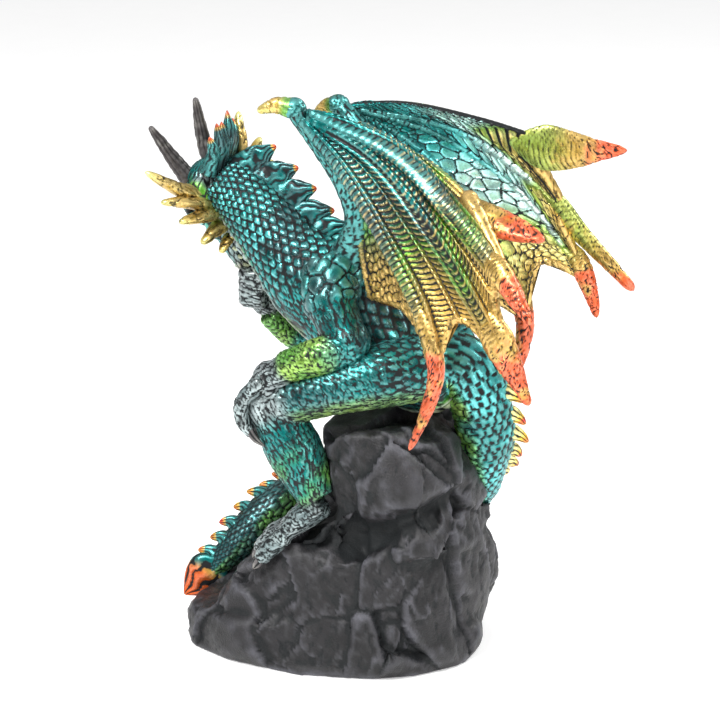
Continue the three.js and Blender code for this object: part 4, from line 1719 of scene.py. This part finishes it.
@dataclass
class Legs:
    """Bent legs with broad clawed feet, alike on both sides."""

    torso: Torso
    thigh: Limb = bar(
        ((12, 31, 90), (20, 22, 88.5), (26, 6, 83.5), (27, -10, 77.5)),
        ((10, 9.5), (9, 9), (7, 7), (6, 6)),
        round_end=0.1,
    )
    shin: Limb = bar(
        ((27, -9.5, 76.5), (26.5, -2.6, 65), (27, 4.6, 51.5)), ((6, 6.6), (6.6, 8.6), (4.8, 5.4))
    )
    knee: tuple[Point, Point] = ((27, -11.5, 78), (6.2, 5.2, 6.4))
    voxel: float = 0.58
    foot: Limb = bar(((27, 6.5, 50), (28, 0, 45), (29, -5, 40)), ((4.6, 3.8), (5.4, 3.8), (5.2, 2.6)))
    toes: tuple[tuple[Point, Point, Point], ...] = (
        ((25, -4, 42), (23.5, -11, 38), (22.5, -15.5, 33)),
        ((28.5, -5, 41), (28.5, -11.5, 36), (28.5, -15.5, 31)),
        ((31.5, -4, 40), (33.5, -9, 35), (35, -12.5, 30)),
    )

    def _toes(self) -> list[Limb]:
        """Lays out the left foot's toes, without their nails.

        Returns:
            One limb a toe.
        """
        toes = []
        for path in self.toes:
            spots = along_curve(path, np.array([0.0, 0.45, 0.8])).tolist()
            toes.append(bar(tuple(map(tuple, spots)), (2.7, 2.5, 1.9), round_end=0.12))
        return toes

    def claws(self) -> list[Limb]:
        """Lays out the nails of both feet.

        Returns:
            One limb a nail.
        """
        nails = []
        for path in self.toes:
            spots = along_curve(path, np.array([0.7, 0.88, 1.0])).tolist()
            nails.append(bar(tuple(map(tuple, spots)), (1.7, 1.3, 0.25), round_end=0.05))
        return nails + [mirrored(nail) for nail in nails]

    def build(self) -> bpy.types.Object:
        """Builds both legs.

        Returns:
            The dressed piece.
        """
        one = [(Zone.THIGH, self.thigh), (Zone.SHIN, self.shin), (Zone.FOOT, self.foot)]
        one += [(Zone.FOOT, toe) for toe in self._toes()]
        both = one + [(zone, mirrored(limb)) for zone, limb in one]
        both.append((Zone.TRUNK, shrunk(self.torso.limb, 1.2, 0.02, 0.3)))
        (x, y, z), radii = self.knee
        return Limbs("legs", both, [((x, y, z), radii), ((-x, y, z), radii)], self.voxel).build()


def build_claws(arms: Arms, legs: Legs) -> bpy.types.Object:
    """Builds all finger and toe nails.

    Args:
        arms: where the fingers are.
        legs: where the toes are.

    Returns:
        The dressed piece.
    """
    shells = [limb_mesh(nail, 30, 24) for nail in [*arms.claws(), *legs.claws()]]
    skin = Skin("claws", gathered(shells))
    relief = ripples(skin.turn * 5, 0.1)
    coat = plain_coat(skin.count, Pigment.HORN, 0.3)
    coat = coat.over(Pigment.BONE, 0.8 * step_up(0.2, 0.9, skin.t), 0.3)
    return dressed(skin, coat, relief, Finish.HORN)


# ---------------------------------------------------------------------------- wings


@dataclass(frozen=True)
class Finger:
    """One finger of a wing, from the wrist to its tip.

    Attributes:
        path: control points after the wrist.
        free: how far along it the membrane ends.
        tip: half widths (in the membrane's plane, through it) of the spike that stands clear.
        drop: how far the spike's middle lies below the finger at its root, millimetres.
        ripe: where along the spike the orange starts.
    """

    path: tuple[Point, ...]
    free: float
    tip: tuple[Radii, ...] = ((2.6, 1.9), (3.4, 2.2), (2.9, 2.0), (2.0, 1.5), (0.8, 0.7))
    drop: float = 0.0
    ripe: float = 0.35


class Bone(Enum):
    """The kinds of part in a wing's frame."""

    ARM = 0
    CLAW = 1
    WRIST = 2
    TIP = 3
    HEM = 4


@dataclass
class Wing:
    """A raised wing: ribbed on its outer face and cobbled on its inner face."""

    name: str
    sign: int
    wrist: Point
    claw: Point
    edge: tuple[Point, ...]
    root: tuple[Point, ...]
    fingers: tuple[Finger, ...]
    outer_share: float = 0.5
    along: int = 176
    around: int = 404
    fan_start: float = 0.05
    scallop: tuple[float, ...] = (0.06, 0.2, 0.2, 0.3)
    sag: float = 0.085
    half_sheet: float = 1.15
    half_rib: float = 1.9
    rib_reach: float = 2.6
    barb: float = 1.75
    notch: float = 1.7
    outer_cobble: float = 2.9
    large_cobble: Radii = (4.3, 4.1)
    small_cobble: float = 2.3
    scute: float = 3.3
    knuckle: Point = (3.1, 3.4, 3.1)

    def _lines(self) -> list[tuple[list[Point], float]]:
        """Returns the membrane's edge and the fingers as lines from the wrist, with their reach."""
        lines = [([self.wrist, *self.edge], 1.0)]
        return lines + [([self.wrist, *f.path], f.free) for f in self.fingers]

    def spot(self, u: Array, v: Array) -> tuple[Array, Array, Array]:
        """Finds places on the membrane's middle.

        Args:
            u: 0 at the wrist and 1 at the trailing edge.
            v: 0 at the edge beside the body and a whole number at each finger.

        Returns:
            The points, their panel's width there and their distance from the wrist.
        """
        panel = np.clip(np.floor(v).astype(int), 0, len(self.fingers) - 1)
        share = v - panel
        bow = np.sin(np.pi * share)
        reach = self.fan_start + (1 - self.fan_start) * u * (1 - np.array(self.scallop)[panel] * bow)
        first, last = np.zeros((len(u), 3)), np.zeros((len(u), 3))
        run = np.zeros(len(u))
        for number, (line, free) in enumerate(self._lines()):
            length = bar(line, [1.0] * len(line)).length_to(np.array([1.0]))[0]
            starts, ends = panel == number, panel == number - 1
            first[starts] = along_curve(line, reach[starts] * free)
            last[ends] = along_curve(line, reach[ends] * free)
            run += reach * free * length * np.where(starts, 1 - share, np.where(ends, share, 0.0))
        width = np.linalg.norm(last - first, axis=1)
        hang = np.array([-self.sign, 0.35, 0.35]) * (self.sag * width * bow)[:, None]
        return blend(first, last, share) + hang, width, run

    def outward(self, u: Array, v: Array) -> Array:
        """Finds the way out of the outer face.

        Args:
            u: 0 at the wrist and 1 at the trailing edge.
            v: 0 beside the body and a whole number at each finger.

        Returns:
            A direction of length one for each place.
        """
        step, most = 0.02, len(self.fingers)
        a = self.spot(np.minimum(u + step, 1), v)[0] - self.spot(np.maximum(u - step, 0), v)[0]
        b = self.spot(u, np.minimum(v + step, most))[0] - self.spot(u, np.maximum(v - step, 0))[0]
        return unit(np.cross(a, b)) * self.sign

    def _unwrap(self, turn: Array) -> tuple[Array, Array]:
        """Turns a share of the way round the slab into a place across it.

        Args:
            turn: the share of the way round, 0 to 1.

        Returns:
            The v of each vertex, and its face: 1 outer, -1 inner.
        """
        most, outer = len(self.fingers), self.outer_share
        v = np.where(turn < outer, turn / outer, (1 - turn) / (1 - outer)) * most
        return np.clip(v, 0, most), np.where(turn < outer, 1.0, -1.0)

    def _place(self, t: Array, turn: Array) -> Array:
        """Finds points on the slab's skin.

        Args:
            t: 0 at the wrist and 1 at the trailing edge.
            turn: shares of the way round the slab.

        Returns:
            One point for each place.
        """
        v, face = self._unwrap(turn)
        points, width, _ = self.spot(t, v)
        near = np.abs(v - np.round(v)) * width
        rib = np.exp(-((near / self.rib_reach) ** 2)) * step_up(1.05, 0.7, t)
        half = self.half_sheet + (self.half_rib - self.half_sheet) * rib
        margin = np.minimum(v, len(self.fingers) - v) * width
        half = half * np.sqrt(np.clip(1 - np.clip(1 - margin / 2.0, 0, 1) ** 2, 0, 1))
        half = half * np.sqrt(np.clip(1 - np.clip((t - 0.985) / 0.015, 0, 1) ** 2, 0, 1))
        return points + self.outward(t, v) * (face * half)[:, None]

    def _ribbed(self, u: Array, v: Array, width: Array, run: Array) -> tuple[Relief, Array]:
        """Carves the outer face.

        Args:
            u: 0 at the wrist and 1 at the trailing edge.
            v: 0 beside the body and a whole number at each finger.
            width: the panel's width there, millimetres.
            run: the distance from the wrist, millimetres.

        Returns:
            The relief, and how much of each vertex is a scale's or a rib's gilded tip.
        """
        spread = 1.0 - 0.6 * step_up(0.8, 1.0, u)
        offsets = (
            (0.04, 0), (0.5, 0.5), (0.87, 1), (1.13, 1), (1.52, 1.52), (1.9, 2), (2.1, 2), (2.5, 2.5),
            (2.9, 3), (3.1, 3), (3.4, 3.4), (3.7, 3.7), (3.96, 4),
        )
        ribs = np.array([middle + (place - middle) * spread for place, middle in offsets])
        number = np.clip((v[None, :] >= ribs).sum(0) - 1, 0, len(ribs) - 2)
        left, right = ribs[number, np.arange(len(v))], ribs[number + 1, np.arange(len(v))]
        half = (right - left) * 0.5
        x = np.clip((v - left - half) / half, -1, 1)
        broad = half * width
        phase = run / self.barb + 0.7 * x * x + number * 0.37
        saw = phase - np.floor(phase)
        lift = 0.34 + 0.34 * np.clip(broad / 3.0, 0, 1)
        height = lift * (0.1 + 0.9 * saw) * (1 - x**4)
        face = step_up(0.1, 0.5, saw) * step_up(1.0, 0.75, np.abs(x))
        away = (np.abs(v[None, :] - ribs) * width[None, :]).min(0)
        radius = 0.62 + 0.42 * u
        notch = run / self.notch - np.floor(run / self.notch)
        cord = np.sqrt(np.clip(1 - (away / radius) ** 2, 0, 1))
        on_cord = step_up(1.0, 0.8, away / radius)
        height = np.maximum(height, cord * (1.15 + 0.35 * notch) * step_up(0.0, 0.12, u))
        face = blend(face, 0.55 + 0.45 * step_up(0.0, 0.3, notch), on_cord)
        gilt = np.maximum(step_up(0.72, 0.95, saw) * (1 - on_cord), on_cord * step_up(0.75, 0.95, notch))
        relief = Relief(height, face)
        cobbled = step_up(0.4, 0.52, u) * step_up(0.86, 0.72, v) * step_up(0.03, 0.12, v)
        size = self.outer_cobble
        cobbles = pebbles(v * width / size, run / size, 0.75, seed=3.0)
        return relief.mixed(cobbles, cobbled), gilt * (1 - cobbled)

    def _cobbled(self, u: Array, v: Array, width: Array, run: Array) -> Relief:
        """Carves the inner face.

        Args:
            u: 0 at the wrist and 1 at the trailing edge.
            v: 0 beside the body and a whole number at each finger.
            width: the panel's width there, millimetres.
            run: the distance from the wrist, millimetres.

        Returns:
            The relief.
        """
        across = v * 12.0 * (0.25 + 0.75 * step_up(0.0, 0.5, u))
        wide, long = self.large_cobble
        large = pebbles(v * width / wide, run / long, 0.8, gap=0.11, seed=1.0)
        size = self.small_cobble
        small = pebbles(v * width / size, run / size, 0.5, gap=0.16, seed=2.0)
        fine = pebbles(across, run / self.notch, 0.4, gap=0.2, seed=4.0)
        middle = step_up(0.2, 0.32, u) * step_up(0.92, 0.75, u)
        middle = middle * step_up(3.85, 3.5, v) * step_up(0.1, 0.4, v)
        scutes = ripples(run / self.scute + 0.35 * (v - 3.6) ** 2, 0.5, 0.5)
        relief = small.mixed(large, middle).mixed(fine, step_up(0.22, 0.14, u))
        return relief.mixed(scutes, step_up(0.68, 0.76, u) * step_up(3.35, 3.5, v))

    def build(self) -> bpy.types.Object:
        """Builds the membrane with its ribs.

        Returns:
            The dressed piece.
        """
        skin = Skin(self.name, wrapped_grid(self.along, self.around, self._place))
        v, face = self._unwrap(skin.turn)
        u = skin.t
        _, width, run = self.spot(u, v)
        ribbed, gilt = self._ribbed(u, v, width, run)
        outer = (face > 0).astype(float)
        relief = self._cobbled(u, v, width, run).mixed(ribbed, outer)
        fringe = step_up(0.0, 1.2, np.minimum(v, len(self.fingers) - v) * width) * step_up(1.0, 0.975, u)
        relief.height = relief.height * fringe
        patch = layered(skin.points, 8.0, 3, 5.0)
        ripe = u + 0.16 * (patch - 0.5)
        outside = fade(
            (
                (0.0, Pigment.TEAL), (0.34, Pigment.TEAL), (0.46, Pigment.DEEP_TEAL),
                (0.56, Pigment.MOSS), (0.66, Pigment.LEAF), (0.75, Pigment.OLIVE),
                (0.88, Pigment.GOLD), (1.0, Pigment.GOLD),
            ),
            ripe - 0.12 * v / 4.0 + 0.06,
        )
        # The inner face's sky and pale middle band paint the light that this face catches from the
        # lamps; teal, lime, straw and gold are its paint.
        inside = fade(
            (
                (0.0, Pigment.TEAL), (0.2, Pigment.TEAL), (0.32, Pigment.SKY), (0.5, Pigment.LIT_PALE),
                (0.64, Pigment.LIT_PALE), (0.74, Pigment.LIME), (0.84, Pigment.STRAW), (1.0, Pigment.GOLD),
            ),
            ripe,
        )
        coat = Coat(blend(inside, outside, outer), np.full(skin.count, 0.72))
        strips = outer * step_up(0.25, 0.5, u) * step_up(0.92, 0.75, u) * (1 - relief.face)
        coat = coat.over(Pigment.MOSS, 0.8 * strips)
        coat = coat.over(Pigment.GOLD, gilt * outer * step_up(0.12, 0.3, u) * 0.75)
        return dressed(skin, coat, relief, Finish.PEARL)

    def _tip(self, number: int) -> bmesh.types.BMesh:
        """Makes the free end of one finger as a spike.

        Args:
            number: the finger's number, from 0.

        Returns:
            Its skin.
        """
        finger = self.fingers[number]
        start = finger.free - 0.22
        t = start + (1 - start) * np.linspace(0, 1, len(finger.tip))
        path = along_curve([self.wrist, *finger.path], t)
        across = np.cross(self.outward(np.array([0.96]), np.array([number + 1.0])), path[-1] - path[0])
        side = unit(across)[0]
        path = path - side * self.sign * finger.drop * np.linspace(1, 0, len(path))[:, None]
        spots = tuple(map(tuple, path.tolist()))
        spike = Limb(spots, finger.tip, tuple(side.tolist()), round_end=0.06, round_start=0.3)
        return limb_mesh(spike, 70, 36)

    def _hem(self, panel: int) -> bmesh.types.BMesh:
        """Makes the rolled rim of one panel's trailing edge.

        Args:
            panel: the panel's number, from 0.

        Returns:
            Its skin.
        """
        v = panel + np.linspace(0.06, 0.94, 9)
        u = np.full(9, 0.985)
        bow = np.sin(np.linspace(0, np.pi, 9))
        heavy = float(panel == len(self.fingers) - 1)
        size = 0.9 + 0.4 * bow + 1.3 * heavy * bow
        path = self.spot(u, v)[0] + self.outward(u, v) * (0.3 + 2.0 * heavy * bow[:, None])
        rim = bar(tuple(map(tuple, path.tolist())), size.tolist(), round_end=0.04, round_start=0.04)
        return limb_mesh(rim, 70, 20)

    def build_bones(self) -> bpy.types.Object:
        """Builds the arm, wrist, claw, spikes and rims.

        Returns:
            The dressed piece.
        """
        arm = bar((self.wrist, *self.root), (2.6, 3.0, 3.4, 4.4, 6.0, 6.5), round_start=0.03)
        middle = tuple((a * 0.5 + b * 0.5 + c) for a, b, c in zip(self.wrist, self.claw, (0, 0, 1.2)))
        claw = bar((self.wrist, middle, self.claw), (3.0, 2.2, 0.7), round_end=0.06)
        knuckle = ball_mesh(self.wrist, self.knuckle)
        shells = [limb_mesh(arm, 110, 36), limb_mesh(claw, 50, 30), knuckle]
        count = len(self.fingers)
        shells += [self._tip(number) for number in range(count)]
        shells += [self._hem(panel) for panel in range(count)]
        marks = [Bone.ARM, Bone.CLAW, Bone.WRIST] + [Bone.TIP] * count + [Bone.HEM] * count
        sizes = [len(shell.verts) for shell in shells]
        kinds = np.repeat([mark.value for mark in marks], sizes)
        ripes = [0.0] * 3 + [finger.ripe for finger in self.fingers] + [0.0] * count
        ripe = np.repeat(ripes, sizes)
        skin = Skin(f"{self.name}_bones", gathered(shells))
        t, turn = skin.t, skin.turn
        plumes = shingles(arm.length_to(t) / 2.8, turn * 12, 0.5, stray=0.5)
        net = scribble(skin.points, 1.9, 0.3, 4.0)
        scutes = ripples(t * 24.0 + 0.6 * np.cos(turn * TURN * 2) + mottle(skin.points, 4.0), 0.24, 0.5)
        net = scutes.mixed(net, 0.35 + 0.65 * step_up(-0.1, 0.0, t - ripe))
        flutes = scribble(skin.points, 3.0, 0.3, 6.0)
        is_arm, is_claw, is_tip = (kinds == b.value for b in (Bone.ARM, Bone.CLAW, Bone.TIP))
        relief = flutes.mixed(plumes, is_arm.astype(float)).mixed(net, is_tip.astype(float))
        relief.face = np.where(is_claw, 1.0, relief.face)
        relief.height = relief.height * np.where(is_tip | is_claw, step_up(1.0, 0.9, t), 1.0)
        coat = plain_coat(skin.count, Pigment.GOLD)
        coat = coat.over(Pigment.TEAL, (is_arm | (kinds == Bone.WRIST.value)).astype(float))
        pale = is_tip * step_up(-0.05, -0.35, t - ripe) * (self.sign < 0)
        coat = coat.over(Pigment.LIME, 0.7 * pale)
        coat = coat.over(Pigment.LEAF, is_claw * step_up(0.5, 0.2, t))
        coat = coat.over(Pigment.STRAW, is_claw * step_up(0.4, 0.9, t) * 0.6)
        far = t - ripe + 0.16 * (mottle(skin.points, 2.5) - 0.5)
        coat = coat.over(Pigment.ORANGE, is_tip * step_up(0.0, 0.12, far), 0.4)
        worn = step_up(0.56, 0.72, layered(skin.points, 3.0, 3, 9.0))
        coat = coat.over(Pigment.GOLD, 0.8 * is_tip * worn)
        return dressed(skin, coat, relief, Finish.PEARL)


LEFT_WING = Wing(
    name="left_wing",
    sign=1,
    wrist=(22, -4, 165.5),
    claw=(24.5, -14.5, 164.5),
    edge=((20.5, 4.5, 155), (18.5, 11, 144.5), (15.5, 14, 133.5), (15, 15, 122), (17, 18, 110)),
    root=((20.5, 4, 155), (18.5, 10.5, 144.5), (15, 13.5, 133), (11, 9, 121), (7, 2, 111)),
    fingers=(
        Finger(((29, 14, 150), (37, 30, 132), (43, 42.5, 114.5), (47, 49, 97), (48, 41.5, 75.5)), 0.78),
        Finger(
            ((30, 24, 154), (40, 46, 136), (46, 62, 116.5), (48.5, 71, 103), (48, 76.5, 92)),
            0.8,
            ((4.0, 2.0), (5.2, 2.4), (4.2, 2.0), (2.4, 1.6), (1.0, 0.9)),
        ),
        Finger(((31, 30, 156), (41, 52, 142), (50, 68, 129), (58, 80, 117)), 0.88),
        Finger(
            ((25, 16, 161.5), (29, 38, 152.5), (33.5, 56, 141.5), (38.5, 77, 136)),
            0.84,
            ((2.2, 1.8), (3.4, 2.0), (4.4, 1.9), (3.6, 1.5), (1.0, 0.8)),
            ripe=0.5,
        ),
    ),
    outer_share=0.58,
)
RIGHT_WING = Wing(
    name="right_wing",
    sign=-1,
    wrist=(-22, -8.5, 160.5),
    claw=(-23, -17.5, 156),
    edge=((-20.5, 1, 153), (-18.5, 9, 143.5), (-15.5, 13, 133), (-15, 15, 122), (-17, 18, 110)),
    root=((-20.5, 0.5, 153), (-18.5, 8.5, 143.5), (-15, 12.5, 133), (-11, 9, 121), (-7, 2, 111)),
    fingers=(
        Finger(((-28, 11, 150), (-33, 28, 133), (-36.5, 41, 112), (-37.5, 47, 92), (-34, 42, 70)), 0.78),
        Finger(((-30, 22, 152), (-38, 44, 136), (-42, 58, 119), (-42, 65, 108), (-40, 69, 97)), 0.8),
        Finger(
            ((-31, 26, 154.5), (-38, 46, 140.5), (-42, 61, 124), (-42, 80, 106)),
            0.76,
            ((3.2, 2.0), (4.4, 2.2), (3.2, 2.0), (2.4, 1.7), (1.8, 1.2)),
            ripe=0.8,
        ),
        Finger(
            ((-24, 11, 162.5), (-27, 35, 158.5), (-30, 59, 152.5), (-34, 79, 150)),
            0.82,
            ((3.4, 1.4), (7.0, 1.8), (5.8, 1.9), (3.2, 1.7), (0.8, 0.7)),
            drop=4.6,
            ripe=0.62,
        ),
    ),
    outer_share=0.46,
)


# ---------------------------------------------------------------------------- rock


@dataclass
class Rock:
    """The rock: facets struck off with a chisel, split by cracks, worn grey on its edges where the grey
    also paints highlights, and darkened under its shelf as painted shadow.
    """

    voxel: float = 0.95
    facet: float = 23.0
    dent: float = 4.2
    ridge: float = 0.3
    crack: float = 0.8
    sunk: float = 1.2
    proudest: float = 0.9
    deepest: float = 4.0
    shelf: float = 41.0
    cave: float = 5.5

    def _lump(self, node: bpy.types.Object) -> bmesh.types.BMesh:
        """Copies the frame's rock and merges its doubles.

        Args:
            node: the frame's rock, which stays as it is.

        Returns:
            The copy, in millimetres.
        """
        lump = bmesh.new()
        lump.from_mesh(node.data)
        bmesh.ops.scale(lump, vec=Vector((1 / MM, 1 / MM, 1 / MM)), verts=lump.verts)
        bmesh.ops.remove_doubles(lump, verts=lump.verts, dist=1e-3)
        bmesh.ops.recalc_face_normals(lump, faces=lump.faces)
        return lump

    def _facets(self, points: Array, size: float, seed: float) -> tuple[Array, Array]:
        """Gives each vertex the height of its own tilted facet.

        Args:
            points: where the vertices are, millimetres.
            size: how wide a facet is, millimetres.
            seed: a number that picks another layout.

        Returns:
            The height, and the distance to the facet's border as a share of its size.
        """
        spot = points / size
        cell = np.floor(spot)
        near = np.full(len(points), 9.0)
        second = near.copy()
        height = np.zeros(len(points))
        for dx in (-1, 0, 1):
            for dy in (-1, 0, 1):
                for dz in (-1, 0, 1):
                    c = cell + [dx, dy, dz]
                    luck = [chance(c[:, 0], c[:, 1], c[:, 2], seed + k) for k in range(6)]
                    gap = spot - c - np.stack(luck[:3], 1)
                    away = np.linalg.norm(gap, axis=1)
                    slope = (gap * (np.stack(luck[3:], 1) - 0.5)).sum(1) * 2.0
                    closer = away < near
                    second = np.where(closer, near, np.minimum(second, away))
                    height = np.where(closer, slope + 0.6 * (luck[4] - 0.5), height)
                    near = np.where(closer, away, near)
        return height, second - near

    def build(self, node: bpy.types.Object) -> bpy.types.Object:
        """Builds the rock round the frame's own.

        Args:
            node: the frame's rock.

        Returns:
            The dressed piece.
        """
        skin = Skin("rock", fused([self._lump(node)], self.voxel))
        skin.relax(2)
        floor = step_up(0.2, 4.0, skin.points[:, 2])
        x, y, z = skin.points.T
        shelf = self.shelf + 0.42 * np.maximum(y - 20.0, 0.0)
        cave = np.exp(-(((z - shelf) / 4.6) ** 2)) * step_up(4.0, 16.0, x)
        cave = cave * step_up(-6.0, 6.0, y) * step_up(50.0, 42.0, y)
        skin.points = skin.points - skin.normals() * (self.cave * cave)[:, None]
        slant = skin.points @ np.array([[1.0, 0.25, 0.0], [-0.2, 1.0, 0.35], [0.0, -0.3, 0.62]])
        warp = slant + 5.0 * (layered(skin.points, 14.0, 2, 30.0) - 0.5)[:, None]
        big, border = self._facets(warp, self.facet, 1.0)
        small, _ = self._facets(warp, self.facet * 0.36, 20.0)
        crack = step_up(0.05, 0.0, border) * step_up(0.55, 0.65, mottle(skin.points, 16.0, 3.0))
        ridged = 1.0 - np.abs(2.0 * layered(warp, 7.0, 3, 9.0) - 1.0) * 2.2
        fine = 1.0 - np.abs(2.0 * layered(warp, 2.6, 2, 14.0) - 1.0) * 2.0
        height = self.dent * big + 0.16 * self.dent * small + self.ridge * ridged + self.ridge * fine
        height = np.clip(height - self.crack * crack - self.sunk, -self.deepest, self.proudest) * floor
        skin.points = skin.points + skin.normals() * height[:, None]
        skin.points[:, 2] = np.maximum(skin.points[:, 2], 0.0)
        # Grey on the sharp edges: partly dry-brushed wear, partly painted highlight where the edges
        # catch the light.
        worn = 0.35 + 0.65 * step_up(0.4, 0.6, layered(skin.points, 5.0, 3, 21.0))
        sharp = worn * step_up(0.08, 0.4, -skin.hollowness(EDGE_ROUNDS))
        dust = step_up(0.62, 0.8, layered(warp * [1.0, 1.0, 0.45], 3.0, 3, 11.0))
        coat = plain_coat(skin.count, Pigment.COAL, 0.0)
        coat = coat.over(Pigment.SLATE, step_up(0.4, 0.65, layered(skin.points, 9.0, 4, 12.0)))
        coat = coat.over(Pigment.ASH, np.clip(0.6 * sharp + 0.34 * dust, 0, 1))
        # Cracks are dark; the cave under the shelf is darkened as painted shadow.
        relief = Relief(np.zeros(skin.count), 1.0 - 0.75 * crack - 0.6 * cave)
        return dressed(skin, coat, relief, Finish.STONE, wash_and_shade=0.75, glint=0.05)


# ---------------------------------------------------------------------------- studio


@dataclass(frozen=True)
class Lamp:
    """One square soft light: its spot and size in metres, its power in watts."""

    name: str
    spot: Point
    size: float
    power: float


@dataclass
class Studio:
    """A pale floor, soft lights and the camera."""

    target: Point = (0.0, 7.4, 87.3)
    towards: Point = (0.8997, 0.3635, 0.2419)
    distance: float = 750.0
    lens: float = 125.0
    sensor: float = 36.0
    floor_half: float = 6000.0
    floor_glow: float = 0.34
    room_light: float = 0.75
    lamps: tuple[Lamp, ...] = (
        Lamp("key", (0.75, -0.25, 0.95), 0.45, 13.0),
        Lamp("back", (-0.6, 0.7, 0.9), 0.5, 8.0),
        Lamp("fill", (1.0, 1.1, 0.4), 0.5, 4.0),
    )

    def _aim(self, thing: bpy.types.Object, spot: Vector, target: Vector) -> None:
        """Puts a camera or lamp in its place.

        Args:
            thing: the camera or lamp.
            spot: where it goes, metres.
            target: what it points at, metres.
        """
        turn = (target - spot).to_track_quat("-Z", "Y").to_matrix().to_4x4()
        thing.matrix_world = Matrix.Translation(spot) @ turn
        bpy.context.scene.collection.objects.link(thing)

    def camera(self) -> None:
        """Adds the camera, and makes it the one that is looked through."""
        data = bpy.data.cameras.new("camera")
        data.lens = self.lens
        data.sensor_width = self.sensor
        data.clip_start, data.clip_end = 0.01, 50.0
        camera = bpy.data.objects.new("camera", data)
        target = Vector(self.target) * MM
        self._aim(camera, target + Vector(self.towards) * self.distance * MM, target)
        bpy.context.scene.camera = camera

    def lights(self) -> None:
        """Adds the soft lights and the pale surroundings."""
        for lamp in self.lamps:
            data = bpy.data.lights.new(lamp.name, "AREA")
            data.size, data.energy = lamp.size, lamp.power
            self._aim(bpy.data.objects.new(lamp.name, data), Vector(lamp.spot), Vector(self.target) * MM)
        world = bpy.data.worlds.new("pale room")
        world.use_nodes = True
        world.node_tree.nodes.clear()
        bench = Bench(world.node_tree)
        spot = bench.add("ShaderNodeTexCoord")
        split = bench.add("ShaderNodeSeparateXYZ", {0: spot.outputs["Generated"]})
        light = bench.span(split.outputs["Z"], 0.0, 0.9, 0.12, 1.0)
        colour = bench.add("ShaderNodeCombineColor", {0: light, 1: light, 2: light})
        shine = {"Color": colour.outputs[0], "Strength": self.room_light}
        surface = bench.add("ShaderNodeBackground", shine)
        bench.add("ShaderNodeOutputWorld", {"Surface": surface.outputs[0]})
        bpy.context.scene.world = world

    def floor(self) -> None:
        """Adds the floor, which isn't part of the figurine."""
        plate = bmesh.new()
        bmesh.ops.create_grid(plate, x_segments=2, y_segments=2, size=self.floor_half * MM)
        mesh = bpy.data.meshes.new("floor")
        plate.to_mesh(mesh)
        plate.free()
        material = bpy.data.materials.new("matt paper")
        material.use_nodes = True
        material.node_tree.nodes.clear()
        bench = Bench(material.node_tree)
        spot = bench.add("ShaderNodeTexCoord")
        fibre = bench.add("ShaderNodeTexNoise", {"Vector": spot.outputs["Object"], "Scale": 40.0})
        tone = bench.span(fibre.outputs["Fac"], 0.3, 0.7, 0.9, 0.92)
        colour = bench.add("ShaderNodeCombineColor", {0: tone, 1: tone, 2: tone})
        shader = bench.add(
            "ShaderNodeBsdfPrincipled",
            {
                "Base Color": colour.outputs[0],
                "Roughness": 0.9,
                "Emission Color": (1.0, 1.0, 1.0, 1.0),
                "Emission Strength": self.floor_glow,
            },
        )
        bench.add("ShaderNodeOutputMaterial", {"Surface": shader.outputs["BSDF"]})
        mesh.materials.append(material)
        floor = bpy.data.objects.new("floor", mesh)
        bpy.context.scene.collection.objects.link(floor)

    def build(self) -> None:
        """Sets up the whole studio."""
        self.camera()
        self.lights()
        self.floor()
        bpy.context.scene.view_settings.view_transform = "Standard"


# ---------------------------------------------------------------------------- the figurine


def keep(piece: bpy.types.Object, node: str) -> None:
    """Ties a finished piece to the frame and reports it.

    Args:
        piece: the finished piece.
        node: the frame's node that it stands for.
    """
    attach(piece, BODY_NAME)
    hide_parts(node)
    LOG.info("%s: %d faces", piece.name, sum(len(f.vertices) - 2 for f in piece.data.polygons))


def main() -> None:
    """Builds the figurine round its frame and reports each piece's face count."""
    logging.basicConfig(level=logging.INFO, format="%(asctime)s %(message)s")
    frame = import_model()
    Studio().build()
    torso, head, tail = Torso(), Head(), Tail()
    arms, legs = Arms(torso), Legs(torso)
    dragon = [
        torso.build,
        NeckCrest(torso).build,
        head.build_face,
        head.build_horns,
        head.build_frill,
        head.build_eyes,
        arms.build,
        legs.build,
        lambda: build_claws(arms, legs),
        tail.build,
        tail.build_ridge,
        LEFT_WING.build,
        LEFT_WING.build_bones,
        RIGHT_WING.build,
        RIGHT_WING.build_bones,
    ]
    for build in dragon:
        keep(build(), "dragon")
    keep(Rock().build(frame["nodes"]["rock_base"]), "rock_base")
    bpy.context.view_layer.update()


if __name__ == "__main__":
    main()
